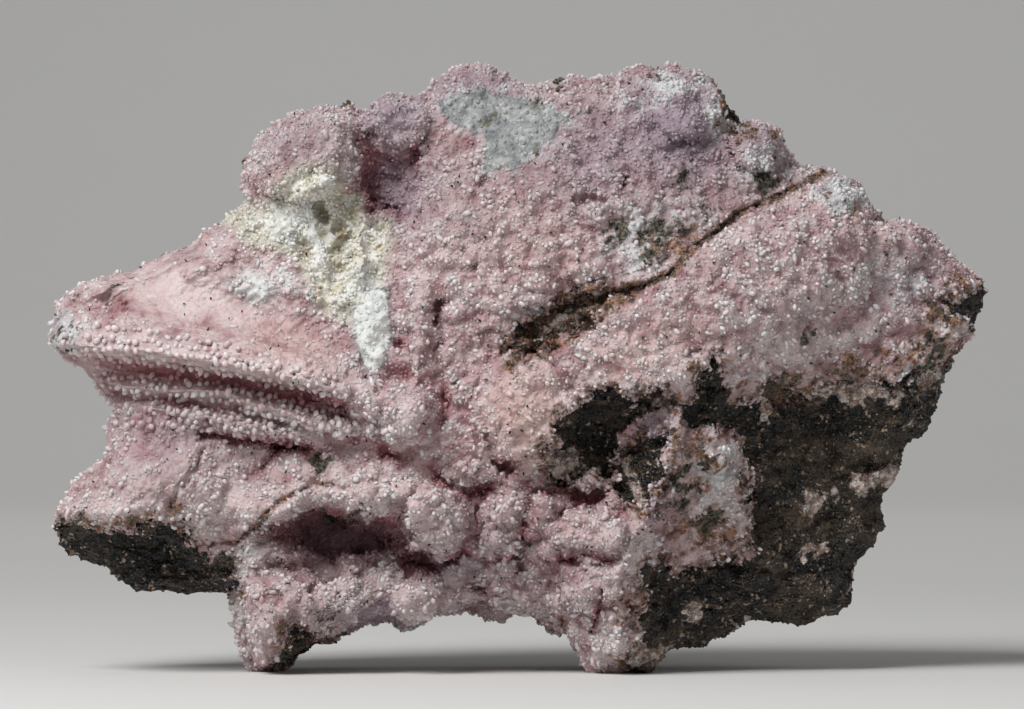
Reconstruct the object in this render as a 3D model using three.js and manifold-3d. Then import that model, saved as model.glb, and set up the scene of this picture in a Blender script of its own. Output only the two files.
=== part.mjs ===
// A loose hand specimen of smithsonite: a pink druse crust grown over dark, rusty matrix rock.
// Millimetres, +Z up. The crust faces -Y, the broken back faces +Y, and the specimen stands on its
// own two feet. The origin is on the ground, under the middle of the specimen.
//
// One closed rock is shaped from a ball, then divided where one mineral ends and the next begins.

import * as THREE from "three";
import { mergeVertices } from "three/addons/utils/BufferGeometryUtils.js";
import Module from "manifold-3d";

const wasm = await Module();
wasm.setup();

// ---------------------------------------------------------------- driving dimensions

const FACE_RISE = 10; // the crust face at its edge stands this far in front of the middle plane
const FACE_SWELL = 8; // and this much further at the heart of the face
const BACK_RISE = 24; // no point of the broken back is further behind the middle plane
const LEAST_DEPTH = 4; // the thinnest half of the rock, at the bottom of the deepest pocket
const CRUST_DEPTH = 7; // the pink crust over the matrix
const CRUST_WRAP = 4; // how far behind the middle plane the crust reaches at the rim
const BARE_DROP = 4; // the crust's inner face passes this far in front of bare matrix
const CREAM_DEPTH = 4;
const CAP_DEPTH = 2.4;
const DRIP_DEPTH = 4;
const GAP = 0.35; // clearance between two minerals
const ROUGHNESS = 0.55; // height of the uneven growth over the whole rock

const HEART = [0.2, 38.2]; // the outline runs round this point
const SHOULDER = 0.93; // the face ends at this share of the outline's radius, and the wall begins
const FACE_SHARE = 0.5; // share of the ball's surface that becomes the face
const WALL_SHARE = 0.27; // and that becomes the wall round the edge; the rest is the back
const BALL_DETAIL = 16; // cuts along each edge of the icosahedron that the ball is made from

// The outline seen from the front, clockwise from the tip of the left wing: [x, z].
const OUTLINE = [
  [-59.9, 42.6], [-57.3, 47.6], [-55.8, 49.2], [-52.2, 50.5], [-48.8, 51.2], [-46.7, 52.8],
  [-42.3, 54], [-41.3, 55.1], [-39, 56.9], [-37, 57.1], [-36.2, 58.5], [-33.8, 58.9],
  [-34.7, 61.7], [-34.3, 63.7], [-32.8, 67.5], [-30.3, 69.1], [-27.5, 70.7], [-25.5, 71.4],
  [-20.9, 71], [-19.3, 71.2], [-18.2, 72.6], [-16.7, 73.6], [-14.9, 72.5], [-13.2, 72.2],
  [-11.8, 73], [-10, 74.5], [-7.7, 76], [-4.2, 76.5], [-2.3, 75.5], [0.2, 74.5], [3.7, 74],
  [6.6, 74.8], [13.3, 74.9], [15.1, 76.3], [16.8, 76.5], [18.8, 76], [21.6, 76.4],
  [23.9, 75.3], [25.6, 73.9], [26.4, 72.2], [27.7, 69.7], [30.4, 69.2], [32.2, 69.5],
  [32.9, 67.8], [33.5, 65.7], [35.5, 63.4], [39.2, 63.3], [42.4, 62.3], [43.8, 60.7],
  [47.2, 56.4], [50.2, 56.9], [52.9, 55.6], [54.7, 52.6], [57.5, 50.6], [59.9, 48.6],
  [59.8, 46.5], [58.1, 43.3], [55.4, 40.7], [54.4, 38.2], [53.5, 34.4], [51.8, 30.7],
  [49.3, 28.1], [48.4, 24.6], [46.3, 21.8], [46.6, 16.8], [43.3, 14], [42.7, 9.2],
  [41.1, 7.1], [37.4, 7], [35.7, 5.2], [32.3, 6.6], [29.2, 6.5], [27.4, 5.1], [24.9, 4.2],
  [22.9, 2.7], [19.7, 2.9], [18, 1.2], [16.6, -0.7], [15.1, -0.6], [10.3, -0.6], [9, 1],
  [7.5, 3.2], [7, 5], [4, 5.1], [2.5, 6.7], [-1.7, 7.1], [-3.7, 6.6], [-5.2, 8.4],
  [-7.1, 8.1], [-10.6, 7.1], [-14.3, 5.6], [-15.9, 6.6], [-21.2, 6.2], [-22.7, 4.5],
  [-25.9, 3.2], [-28.8, 1.5], [-30.9, -0.7], [-33.9, -0.6], [-35, 4.7], [-35.6, 7.7],
  [-36.4, 10.3], [-38.6, 10.5], [-42.4, 9.6], [-49, 9.6], [-50.5, 11.4], [-52.7, 13.4],
  [-57.5, 14.5], [-58.9, 16.8], [-58.7, 19.3], [-57, 21.2], [-56.1, 23.1], [-55.1, 25.1],
  [-52.7, 26], [-51.8, 27.5], [-52, 30.7], [-50.8, 32.6], [-50.6, 33.9], [-53, 34.8],
  [-54, 36.7], [-56.8, 39.7], [-59.4, 40.7],
];

// Broad forms, which the matrix under the crust follows too:
// middle [x, z], half sizes, turn in degrees, rise towards the viewer.
const SWELLS = [
  { name: "heart of the face", at: [2, 40], size: [60, 40], turn: 0, rise: FACE_SWELL },
  { name: "upper mass", at: [6, 59], size: [30, 22], turn: 0, rise: 5 },
  { name: "right shoulder", at: [30, 50], size: [34, 15], turn: 31, rise: 7 },
  { name: "left wing crest", at: [-38, 39], size: [30, 9], turn: -12, rise: 6 },
  { name: "lower left block", at: [-46, 24], size: [15, 10], turn: 10, rise: 8 },
  { name: "right foot", at: [13, 8], size: [9, 16], turn: 0, rise: 4 },
  { name: "left foot", at: [-31, 7], size: [8, 12], turn: 0, rise: 4 },
  { name: "matrix lobe", at: [24, 26], size: [9, 11], turn: 0, rise: 3.5 },
  { name: "upper left recess", at: [-15.8, 61.5], size: [8, 10], turn: 0, rise: -6.5 },
  { name: "slope under the ledge", at: [-21, 15.2], size: [13, 7.5], turn: -4, rise: -5 },
  { name: "lower left wedge", at: [-48, 12.5], size: [15, 8], turn: -8, rise: -7 },
  { name: "bare plate", at: [36, 21], size: [26, 25], turn: 0, rise: -5 },
  { name: "seam wedge", at: [4, 44.5], size: [11, 5.5], turn: 33, rise: -2.2 },
  { name: "arch hollow", at: [12, 29], size: [8, 8], turn: 0, rise: -4 },
];

// Rounded lobes of the crust, and a cavity with steep sides: middle [x, z], half sizes, rise.
const LOBES = [
  { name: "upper left mound", at: [-27, 66], size: [8.2, 7], rise: 6.5 },
  { name: "second mound", at: [-15.8, 70], size: [4.2, 4.6], rise: 4 },
  { name: "salmon bulge", at: [0.8, 33], size: [6.5, 7.5], rise: 4 },
  { name: "middle lobe", at: [-10.6, 18.8], size: [4, 5], rise: 5 },
  { name: "right middle lobe", at: [9.1, 17.7], size: [5, 3.5], rise: 4 },
  { name: "low middle lobe", at: [8.5, 11.5], size: [4, 3.5], rise: 3 },
  { name: "left low lobe", at: [-11.7, 8.3], size: [4.5, 3.2], rise: 3.5 },
  { name: "cavity", at: [-22, 18], size: [9.8, 3.3], rise: -6 },
  { name: "lilac lobe", at: [30.7, 66.8], size: [4, 3.6], rise: 3 },
  { name: "top right knob", at: [21.6, 72], size: [6, 5], rise: 3 },
];

// Long forms along a line: points [x, z], half width, rise.
const RIDGES = [
  { name: "wing rib", along: [[-57, 42.5], [-45, 41], [-29, 38.5], [-15, 33]], width: 5, rise: 3.5 },
  { name: "low rib", along: [[-54, 33], [-37, 32.5], [-27.5, 30.5]], width: 4, rise: 2.5 },
  { name: "spine", along: [[-12.2, 47], [-12, 38], [-13.5, 29]], width: 4, rise: 1.2 },
  { name: "ledge", along: [[-33, 20], [-27.5, 23], [-21.9, 24], [-14, 22.5]], width: 5, rise: 4 },
  { name: "lower ledge", along: [[-35, 7.5], [-28, 9], [-15.5, 9.8]], width: 6.5, rise: 4.5 },
  { name: "blade", along: [[20.1, 32.7], [15.7, 20.3], [12.8, 13.8]], width: 4.5, rise: 2.5 },
  { name: "wing groove", along: [[-57, 38], [-42, 36.5], [-29, 34.5], [-22, 33.5]], width: 4, rise: -2.2 },
  { name: "seam", along: [[38.7, 63], [27, 58], [17.5, 49.5], [8, 46.5]], width: 4, rise: -1.4 },
];

// Flat fractures of the broken back: depth behind the middle plane where x = 0 and z = 38,
// and how much it grows per millimetre of x and of z.
const FRACTURES = [
  { name: "main break", depth: 22, alongX: 0.05, alongZ: -0.02 },
  { name: "left break", depth: 31, alongX: 0.42, alongZ: 0.05 },
  { name: "right break", depth: 33, alongX: -0.36, alongZ: 0.12 },
  { name: "top break", depth: 36, alongX: -0.04, alongZ: -0.62 },
  { name: "low break", depth: 29, alongX: 0.1, alongZ: 0.4 },
];

// Where the matrix is bare on the face: outlines [x, z].
const BARE_GROUND = [
  {
    name: "lower right",
    edge: [
      [62, 40.6], [57, 40.2], [54, 38.4], [48, 37], [41, 37.2], [34, 36.6], [29, 35.5],
      [25, 39], [22, 38.5], [19.5, 35], [20.5, 30],
      [15.5, 18], [13.5, 12], [14, 7], [17, -6], [50, -4], [62, 20],
    ],
  },
  {
    name: "lower left",
    edge: [[-66, 19], [-55, 18.8], [-44, 19.8], [-41, 18], [-37.5, 13.8], [-37.5, 4], [-66, 4]],
  },
  { name: "right tip", edge: [[52.4, 46.8], [56.3, 48.2], [62, 49.5], [62, 43.4], [55.9, 44.8]] },
  { name: "under the left foot", edge: [[-30, 6.5], [-24, 5.5], [-22, -4], [-29.5, -4]] },
];
const BARE_BLEND = 3; // the crust thins out over this distance from a bare edge

// Patches of younger mineral on the crust: outlines [x, z].
const CREAM_EDGE = [
  [-36.5, 57.8], [-33.5, 58.2], [-30.5, 59.6], [-28.6, 62.2], [-25.6, 63.2], [-23, 62.6],
  [-22.4, 60.4], [-20.4, 60], [-19.6, 56.4], [-16.2, 56.8], [-17.2, 52.4], [-17.6, 49.4],
  [-21, 44.8], [-23.6, 46], [-25.4, 49], [-26, 51.4], [-28.6, 53.8], [-33, 55],
];
const CAP_EDGE = [
  [-10.1, 71.5], [-7, 73.5], [-1, 72.8], [2.6, 71.8], [6.2, 69.6], [4.4, 67.8], [1.8, 65],
  [-0.8, 63.4], [-4.3, 63.2], [-4.6, 66], [-3.6, 68], [-6, 68.2], [-8.4, 69.4],
];
const DRIP_EDGE = [
  [-20.8, 48.2], [-17, 48.4], [-15.8, 44], [-16.4, 40], [-18, 37.9], [-19.4, 39.2],
  [-20.5, 43.4],
];

// ---------------------------------------------------------------- how the forms add up

// 1 at the middle of a form and 0 at its edge, smooth at both ends.
const fade = (distance) => (distance < 1 ? (1 - distance * distance) ** 2 : 0);
// 1 at the middle and 0 at the edge, round like a ball.
const round = (distance) => (distance < 1 ? Math.sqrt(1 - distance * distance) : 0);
const blend = THREE.MathUtils.lerp;
const step = THREE.MathUtils.smoothstep;

// Distance from the middle of a form, in its own half sizes.
function ovalDistance(x, z, { at, size, turn = 0 }) {
  const angle = THREE.MathUtils.degToRad(turn);
  const across = (x - at[0]) * Math.cos(angle) + (z - at[1]) * Math.sin(angle);
  const up = (z - at[1]) * Math.cos(angle) - (x - at[0]) * Math.sin(angle);
  return Math.hypot(across / size[0], up / size[1]);
}

function segmentDistance(x, z, [ax, az], [bx, bz]) {
  const [dx, dz] = [bx - ax, bz - az];
  const share = ((x - ax) * dx + (z - az) * dz) / (dx * dx + dz * dz);
  const t = THREE.MathUtils.clamp(share, 0, 1);
  return Math.hypot(x - ax - t * dx, z - az - t * dz);
}

function lineDistance(x, z, points) {
  const gaps = points.slice(1).map((end, i) => segmentDistance(x, z, points[i], end));
  return Math.min(...gaps);
}

// Distance outside an outline; negative inside it.
function edgeDistance(x, z, edge) {
  let inside = false;
  edge.forEach(([ax, az], i) => {
    const [bx, bz] = edge[(i + 1) % edge.length];
    if (az > z !== bz > z && x < ((bx - ax) * (z - az)) / (bz - az) + ax) inside = !inside;
  });
  const gap = lineDistance(x, z, [...edge, edge[0]]);
  return inside ? -gap : gap;
}

// Uneven growth, from -1 to 1, out of waves that cross in three directions.
function unevenness(x, y, z) {
  const long = Math.sin(0.41 * x + 1.3 * Math.sin(0.23 * z + 0.3 * y)) * Math.sin(0.37 * z + 0.29 * y + 1.3);
  const short = Math.sin(0.93 * x - 0.5 * z + 0.5) * Math.sin(0.71 * y + 0.88 * z + 0.6 * Math.sin(0.5 * x));
  return 0.6 * long + 0.4 * short;
}

const sum = (forms, share) => forms.reduce((total, form) => total + form.rise * share(form), 0);

// How far the broad face stands in front of the middle plane.
const broadFace = (x, z) =>
  Math.max(LEAST_DEPTH, FACE_RISE + sum(SWELLS, (form) => fade(ovalDistance(x, z, form))));

// The same with the lobes, the ridges, the grooves and the uneven growth.
function face(x, z) {
  const lobes = sum(LOBES, (form) => round(ovalDistance(x, z, form)));
  const ridges = sum(RIDGES, ({ along, width }) => fade(lineDistance(x, z, along) / width));
  const depth = broadFace(x, z) + lobes + ridges + ROUGHNESS * unevenness(x, 0, z);
  return Math.max(LEAST_DEPTH, depth);
}

// How far the broken back stands behind the middle plane.
function back(x, z) {
  const planes = FRACTURES.map((f) => f.depth + f.alongX * x + f.alongZ * (z - HEART[1]));
  const depth = Math.min(BACK_RISE, ...planes) + 2 * ROUGHNESS * unevenness(x, BACK_RISE, z);
  return Math.max(LEAST_DEPTH, depth);
}

// ---------------------------------------------------------------- the whole rock

const spokes = OUTLINE.map(([x, z]) => ({
  angle: Math.atan2(z - HEART[1], x - HEART[0]),
  radius: Math.hypot(x - HEART[0], z - HEART[1]),
})).sort((a, b) => a.angle - b.angle);

function outlineRadius(angle) {
  const after = spokes.findIndex((spoke) => spoke.angle > angle);
  const next = spokes[after < 0 ? 0 : after];
  const last = spokes.at(after < 0 ? -1 : after - 1);
  const turn = (to) => THREE.MathUtils.euclideanModulo(to - last.angle, 2 * Math.PI);
  return blend(last.radius, next.radius, turn(angle) / turn(next.angle));
}

// Where a point of the unit ball goes: its share of the outline's radius and its depth.
function rockPoint({ x: ballX, y: ballY, z: ballZ }) {
  const angle = Math.atan2(ballZ, ballX);
  const area = (1 + ballY) / 2; // share of the ball in front of this point
  const wall = THREE.MathUtils.clamp((area - FACE_SHARE) / WALL_SHARE, 0, 1);
  const crest = 0.42 + 0.16 * Math.sin(3 * angle + 0.8) + 0.1 * Math.sin(7 * angle);
  const fromCrest = wall < crest ? 1 - wall / crest : (wall - crest) / (1 - crest);
  const behind = (1 - area) / (1 - FACE_SHARE - WALL_SHARE);
  const wear = 1 + 0.9 * unevenness(14 * angle, 40 * wall, 9 * angle);
  const share =
    area < FACE_SHARE ? SHOULDER * Math.sqrt(area / FACE_SHARE)
    : wall < 1 ? 1 - (1 - SHOULDER) * fromCrest ** (1.6 * wear)
    : SHOULDER * Math.sqrt(behind);
  const radius = share * outlineRadius(angle);
  const x = HEART[0] + radius * Math.cos(angle);
  const z = HEART[1] + radius * Math.sin(angle);
  const rounding = 1 - 0.16 * Math.min(1, share / SHOULDER) ** 6;
  const y = blend(-face(x, z), back(x, z), wall) * rounding;
  return [x, y, z];
}

// A closed triangle mesh with shared corners, as a solid that can be joined and cut.
function solidOf(geometry) {
  const bare = new THREE.BufferGeometry().setAttribute("position", geometry.getAttribute("position"));
  if (geometry.index) bare.setIndex(geometry.index);
  const merged = mergeVertices(bare, 1e-4);
  const vertProperties = merged.attributes.position.array;
  return new wasm.Manifold(
    new wasm.Mesh({ numProp: 3, vertProperties, triVerts: new Uint32Array(merged.index.array) }),
  );
}

function moved(geometry, place) {
  const position = geometry.getAttribute("position");
  const corner = new THREE.Vector3();
  for (let i = 0; i < position.count; i++) {
    position.setXYZ(i, ...place(corner.fromBufferAttribute(position, i)));
  }
  return geometry;
}

function wholeRock() {
  const ball = new THREE.IcosahedronGeometry(1, BALL_DETAIL);
  ball.deleteAttribute("normal");
  ball.deleteAttribute("uv");
  const rock = solidOf(moved(mergeVertices(ball, 1e-5), rockPoint));
  const ground = new THREE.BoxGeometry(140, 80, 20).translate(0, 0, -10);
  return rock.subtract(solidOf(ground));
}

// ---------------------------------------------------------------- the borders between minerals

// 1 over bare matrix, 0 where the crust has its full depth.
function bareness(x, z) {
  const gap = Math.min(...BARE_GROUND.map(({ edge }) => edgeDistance(x, z, edge)));
  return 1 - step(gap, -BARE_BLEND, BARE_BLEND);
}

// The crust's inner face, as a Y position.
function crustFloor(x, z) {
  const angle = Math.atan2(z - HEART[1], x - HEART[0]);
  const rim = Math.hypot(x - HEART[0], z - HEART[1]) / outlineRadius(angle);
  const covered = blend(CRUST_DEPTH - broadFace(x, z), CRUST_WRAP, step(rim, 0.8, 0.96));
  return blend(covered, -broadFace(x, z) - BARE_DROP, bareness(x, z));
}

const patchFloor = (depth) => (x, z) => depth - broadFace(x, z);

// All that lies in front of a floor surface, which is drawn every `cell` millimetres.
function inFrontOf(floor, cell, shift = 0) {
  const [width, reach, height] = [132, 60, 92];
  const block = new THREE.BoxGeometry(
    width, reach, height, Math.round(width / cell), 1, Math.round(height / cell),
  ).translate(0, -reach / 2, height / 2 - 8);
  return solidOf(moved(block, ({ x, y, z }) => [x, y > -1 ? floor(x, z) + shift : y, z]));
}

// An outline with each corner moved outwards, away from the side its neighbours lie on.
function grown(edge, growth) {
  const clockwise = THREE.ShapeUtils.isClockWise(edge.map(([x, z]) => new THREE.Vector2(x, z)));
  return edge.map(([x, z], i) => {
    const [lastX, lastZ] = edge.at(i - 1);
    const [nextX, nextZ] = edge[(i + 1) % edge.length];
    const out = new THREE.Vector2(nextZ - lastZ, lastX - nextX).setLength(clockwise ? -growth : growth);
    return [x + out.x, z + out.y];
  });
}

// A patch's outline, as a prism that reaches from far in front to the middle plane.
function prismOver(edge) {
  const shape = new THREE.Shape(edge.map(([x, z]) => new THREE.Vector2(x, z)));
  const prism = new THREE.ExtrudeGeometry(shape, { depth: 60, bevelEnabled: false });
  return solidOf(prism.rotateX(Math.PI / 2));
}

const CRUST_CELL = 5.5;
const PATCH_CELL = 3;

// Cuts one patch out of the crust and leaves the clearance between the two.
function divide(crust, edge, depth) {
  const floor = patchFloor(depth);
  const patch = crust.intersect(prismOver(edge)).intersect(inFrontOf(floor, PATCH_CELL));
  const room = prismOver(grown(edge, 1.5 * GAP)).intersect(inFrontOf(floor, PATCH_CELL, GAP));
  return [largest(crust.subtract(room)), largest(patch)];
}

// The main body of a solid, without the crumbs that a cut leaves.
function largest(solid) {
  return solid.decompose().sort((a, b) => b.volume() - a.volume())[0];
}

const rock = wholeRock();
const matrix = largest(rock.subtract(inFrontOf(crustFloor, CRUST_CELL, GAP)));
const wholeCrust = largest(rock.intersect(inFrontOf(crustFloor, CRUST_CELL)));
const [crustWithoutCream, cream] = divide(wholeCrust, CREAM_EDGE, CREAM_DEPTH);
const [crustWithoutCap, cap] = divide(crustWithoutCream, CAP_EDGE, CAP_DEPTH);
const [druse, drip] = divide(crustWithoutCap, DRIP_EDGE, DRIP_DEPTH);

// ---------------------------------------------------------------- the specimen

function meshOf(name, solid, colour, roughness) {
  const { vertProperties, triVerts } = solid.getMesh();
  const geometry = new THREE.BufferGeometry();
  geometry.setAttribute("position", new THREE.BufferAttribute(vertProperties, 3));
  geometry.setIndex(new THREE.BufferAttribute(triVerts, 1));
  geometry.computeVertexNormals();
  const material = new THREE.MeshStandardMaterial({ color: colour, roughness, metalness: 0 });
  const mesh = new THREE.Mesh(geometry, material);
  mesh.name = name;
  return mesh;
}

const specimen = new THREE.Group();
specimen.add(meshOf("matrix_rock", matrix, 0x2e2923, 0.85));
specimen.add(meshOf("smithsonite_crust", druse, 0xc9a3a6, 0.5));
specimen.add(meshOf("cream_crust", cream, 0xd8d2b8, 0.6));
specimen.add(meshOf("blue_white_cap", cap, 0xaabab8, 0.3));
specimen.add(meshOf("white_drip", drip, 0xc9d2d0, 0.3));

export default specimen;
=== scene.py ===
# %% [markdown]
# # A hand specimen of pink smithsonite
# A crust of tiny rice-shaped crystals grew over dark, rusty matrix rock. It grew in lobes, ribs and
# pockets, and a little cream and blue-white mineral came later on top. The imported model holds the
# same minerals as plain solids, so each fine piece made here takes the place of one of them.

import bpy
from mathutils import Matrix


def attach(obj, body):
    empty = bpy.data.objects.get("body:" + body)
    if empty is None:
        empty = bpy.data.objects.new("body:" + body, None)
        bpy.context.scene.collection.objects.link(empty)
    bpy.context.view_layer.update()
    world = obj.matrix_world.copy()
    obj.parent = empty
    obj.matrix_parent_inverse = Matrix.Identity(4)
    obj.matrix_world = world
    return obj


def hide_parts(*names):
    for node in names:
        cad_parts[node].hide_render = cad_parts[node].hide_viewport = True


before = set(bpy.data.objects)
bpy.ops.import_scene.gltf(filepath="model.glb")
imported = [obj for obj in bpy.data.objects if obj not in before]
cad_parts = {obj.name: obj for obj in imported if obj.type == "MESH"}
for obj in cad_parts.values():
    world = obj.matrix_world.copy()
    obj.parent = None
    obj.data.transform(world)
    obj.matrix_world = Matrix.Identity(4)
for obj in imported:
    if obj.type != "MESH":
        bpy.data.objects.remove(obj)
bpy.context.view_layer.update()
print("frame nodes:", sorted(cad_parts))

# %% [markdown]
# Blender works in metres, and a mineral is easier to describe in millimetres. All forms below are
# written in millimetres and turned into metres once, when a mesh gets its points.

# %% Units and shared tools
import math

import bpy
import numpy as np
from mathutils import Vector, kdtree, noise

MM = 0.001


def deselect():
    bpy.ops.object.select_all(action="DESELECT")


def only(piece):
    """Makes one object the selected and active one, as a click on it would."""
    deselect()
    piece.select_set(True)
    bpy.context.view_layer.objects.active = piece


def vectors_of(piece, kind):
    """One row of three numbers for each point of the piece."""
    flat = np.empty(len(piece.data.vertices) * 3, np.float32)
    piece.data.vertices.foreach_get(kind, flat)
    return flat.reshape(-1, 3).astype(float)


def points_of(piece):
    """The piece's points in millimetres."""
    return vectors_of(piece, "co") / MM


def set_points(piece, points):
    piece.data.vertices.foreach_set("co", (points * MM).astype(np.float32).ravel())
    piece.data.update()


# %% [markdown]
# ## The forms of the rock
# The outline is the specimen's edge seen from the front, drawn clockwise from the tip of the left
# wing. Every other form is a swelling, a lobe, a ridge or a groove at its own place on the face.
# The first lists are the ones that the solids are built from.

# %% Outline and broad forms, in millimetres
# the middle (x, z) from which the spokes to the outline run
HEART = (0.2, 38.2)
OUTLINE = [
    (-59.9, 42.6), (-57.3, 47.6), (-55.8, 49.2), (-52.2, 50.5), (-48.8, 51.2), (-46.7, 52.8),
    (-42.3, 54), (-41.3, 55.1), (-39, 56.9), (-37, 57.1), (-36.2, 58.5), (-33.8, 58.9),
    (-34.7, 61.7), (-34.3, 63.7), (-32.8, 67.5), (-30.3, 69.1), (-27.5, 70.7), (-25.5, 71.4),
    (-20.9, 71), (-19.3, 71.2), (-18.2, 72.6), (-16.7, 73.6), (-14.9, 72.5), (-13.2, 72.2),
    (-11.8, 73), (-10, 74.5), (-7.7, 76), (-4.2, 76.5), (-2.3, 75.5), (0.2, 74.5), (3.7, 74),
    (6.6, 74.8), (13.3, 74.9), (15.1, 76.3), (16.8, 76.5), (18.8, 76), (21.6, 76.4),
    (23.9, 75.3), (25.6, 73.9), (26.4, 72.2), (27.7, 69.7), (30.4, 69.2), (32.2, 69.5),
    (32.9, 67.8), (33.5, 65.7), (35.5, 63.4), (39.2, 63.3), (42.4, 62.3), (43.8, 60.7),
    (47.2, 56.4), (50.2, 56.9), (52.9, 55.6), (54.7, 52.6), (57.5, 50.6), (59.9, 48.6),
    (59.8, 46.5), (58.1, 43.3), (55.4, 40.7), (54.4, 38.2), (53.5, 34.4), (51.8, 30.7),
    (49.3, 28.1), (48.4, 24.6), (46.3, 21.8), (46.6, 16.8), (43.3, 14), (42.7, 9.2),
    (41.1, 7.1), (37.4, 7), (35.7, 5.2), (32.3, 6.6), (29.2, 6.5), (27.4, 5.1), (24.9, 4.2),
    (22.9, 2.7), (19.7, 2.9), (18, 1.2), (16.6, -0.7), (15.1, -0.6), (10.3, -0.6), (9, 1),
    (7.5, 3.2), (7, 5), (4, 5.1), (2.5, 6.7), (-1.7, 7.1), (-3.7, 6.6), (-5.2, 8.4),
    (-7.1, 8.1), (-10.6, 7.1), (-14.3, 5.6), (-15.9, 6.6), (-21.2, 6.2), (-22.7, 4.5),
    (-25.9, 3.2), (-28.8, 1.5), (-30.9, -0.7), (-33.9, -0.6), (-35, 4.7), (-35.6, 7.7),
    (-36.4, 10.3), (-38.6, 10.5), (-42.4, 9.6), (-49, 9.6), (-50.5, 11.4), (-52.7, 13.4),
    (-57.5, 14.5), (-58.9, 16.8), (-58.7, 19.3), (-57, 21.2), (-56.1, 23.1), (-55.1, 25.1),
    (-52.7, 26), (-51.8, 27.5), (-52, 30.7), (-50.8, 32.6), (-50.6, 33.9), (-53, 34.8),
    (-54, 36.7), (-56.8, 39.7), (-59.4, 40.7),
]
# name, middle (x, z), half sizes, turn in degrees, rise towards the viewer
SWELLS = [
    ("heart of the face", (2, 40), (60, 40), 0, 8),
    ("upper mass", (6, 59), (30, 22), 0, 5),
    ("right shoulder", (30, 50), (34, 15), 31, 7),
    ("left wing crest", (-38, 39), (30, 9), -12, 6),
    ("lower left block", (-46, 24), (15, 10), 10, 8),
    ("right foot", (13, 8), (9, 16), 0, 4),
    ("left foot", (-31, 7), (8, 12), 0, 4),
    ("matrix lobe", (24, 26), (9, 11), 0, 3.5),
    ("upper left recess", (-15.8, 61.5), (8, 10), 0, -6.5),
    ("slope under the ledge", (-21, 15.2), (13, 7.5), -4, -5),
    ("lower left wedge", (-48, 12.5), (15, 8), -8, -7),
    ("bare plate", (36, 21), (26, 25), 0, -5),
    ("seam wedge", (4, 44.5), (11, 5.5), 33, -2.2),
    ("arch hollow", (12, 29), (8, 8), 0, -4),
]
# name, middle, half sizes, rise
LOBES = [
    ("upper left mound", (-27, 66), (8.2, 7), 6.5),
    ("second mound", (-15.8, 70), (4.2, 4.6), 4),
    ("salmon bulge", (0.8, 33), (6.5, 7.5), 4),
    ("middle lobe", (-10.6, 18.8), (4, 5), 5),
    ("right middle lobe", (9.1, 17.7), (5, 3.5), 4),
    ("low middle lobe", (8.5, 11.5), (4, 3.5), 3),
    ("left low lobe", (-11.7, 8.3), (4.5, 3.2), 3.5),
    ("cavity", (-22, 18), (9.8, 3.3), -6),
    ("lilac lobe", (30.7, 66.8), (4, 3.6), 3),
    ("top right knob", (21.6, 72), (6, 5), 3),
]
# name, points along the middle, half width, rise
RIDGES = [
    ("wing rib", [(-57, 42.5), (-45, 41), (-29, 38.5), (-15, 33)], 5, 3.5),
    ("low rib", [(-54, 33), (-37, 32.5), (-27.5, 30.5)], 4, 2.5),
    ("spine", [(-12.2, 47), (-12, 38), (-13.5, 29)], 4, 1.2),
    ("ledge", [(-33, 20), (-27.5, 23), (-21.9, 24), (-14, 22.5)], 5, 4),
    ("lower ledge", [(-35, 7.5), (-28, 9), (-15.5, 9.8)], 6.5, 4.5),
    ("blade", [(20.1, 32.7), (15.7, 20.3), (12.8, 13.8)], 4.5, 2.5),
    ("wing groove", [(-57, 38), (-42, 36.5), (-29, 34.5), (-22, 33.5)], 4, -2.2),
    ("seam", [(38.7, 63), (27, 58), (17.5, 49.5), (8, 46.5)], 4, -1.4),
]
# name, depth behind the middle plane at x = 0 and z = 38.2, growth along x, growth along z
FRACTURES = [
    ("main break", 22, 0.05, -0.02),
    ("left break", 31, 0.42, 0.05),
    ("right break", 33, -0.36, 0.12),
    ("top break", 36, -0.04, -0.62),
    ("low break", 29, 0.1, 0.4),
]

# %% [markdown]
# The fine forms are too small for the solids, and they give the crust its look: the knuckles and
# folds at the bottom, the ribs of the wing with the deep grooves between them, and the pockets.

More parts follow.
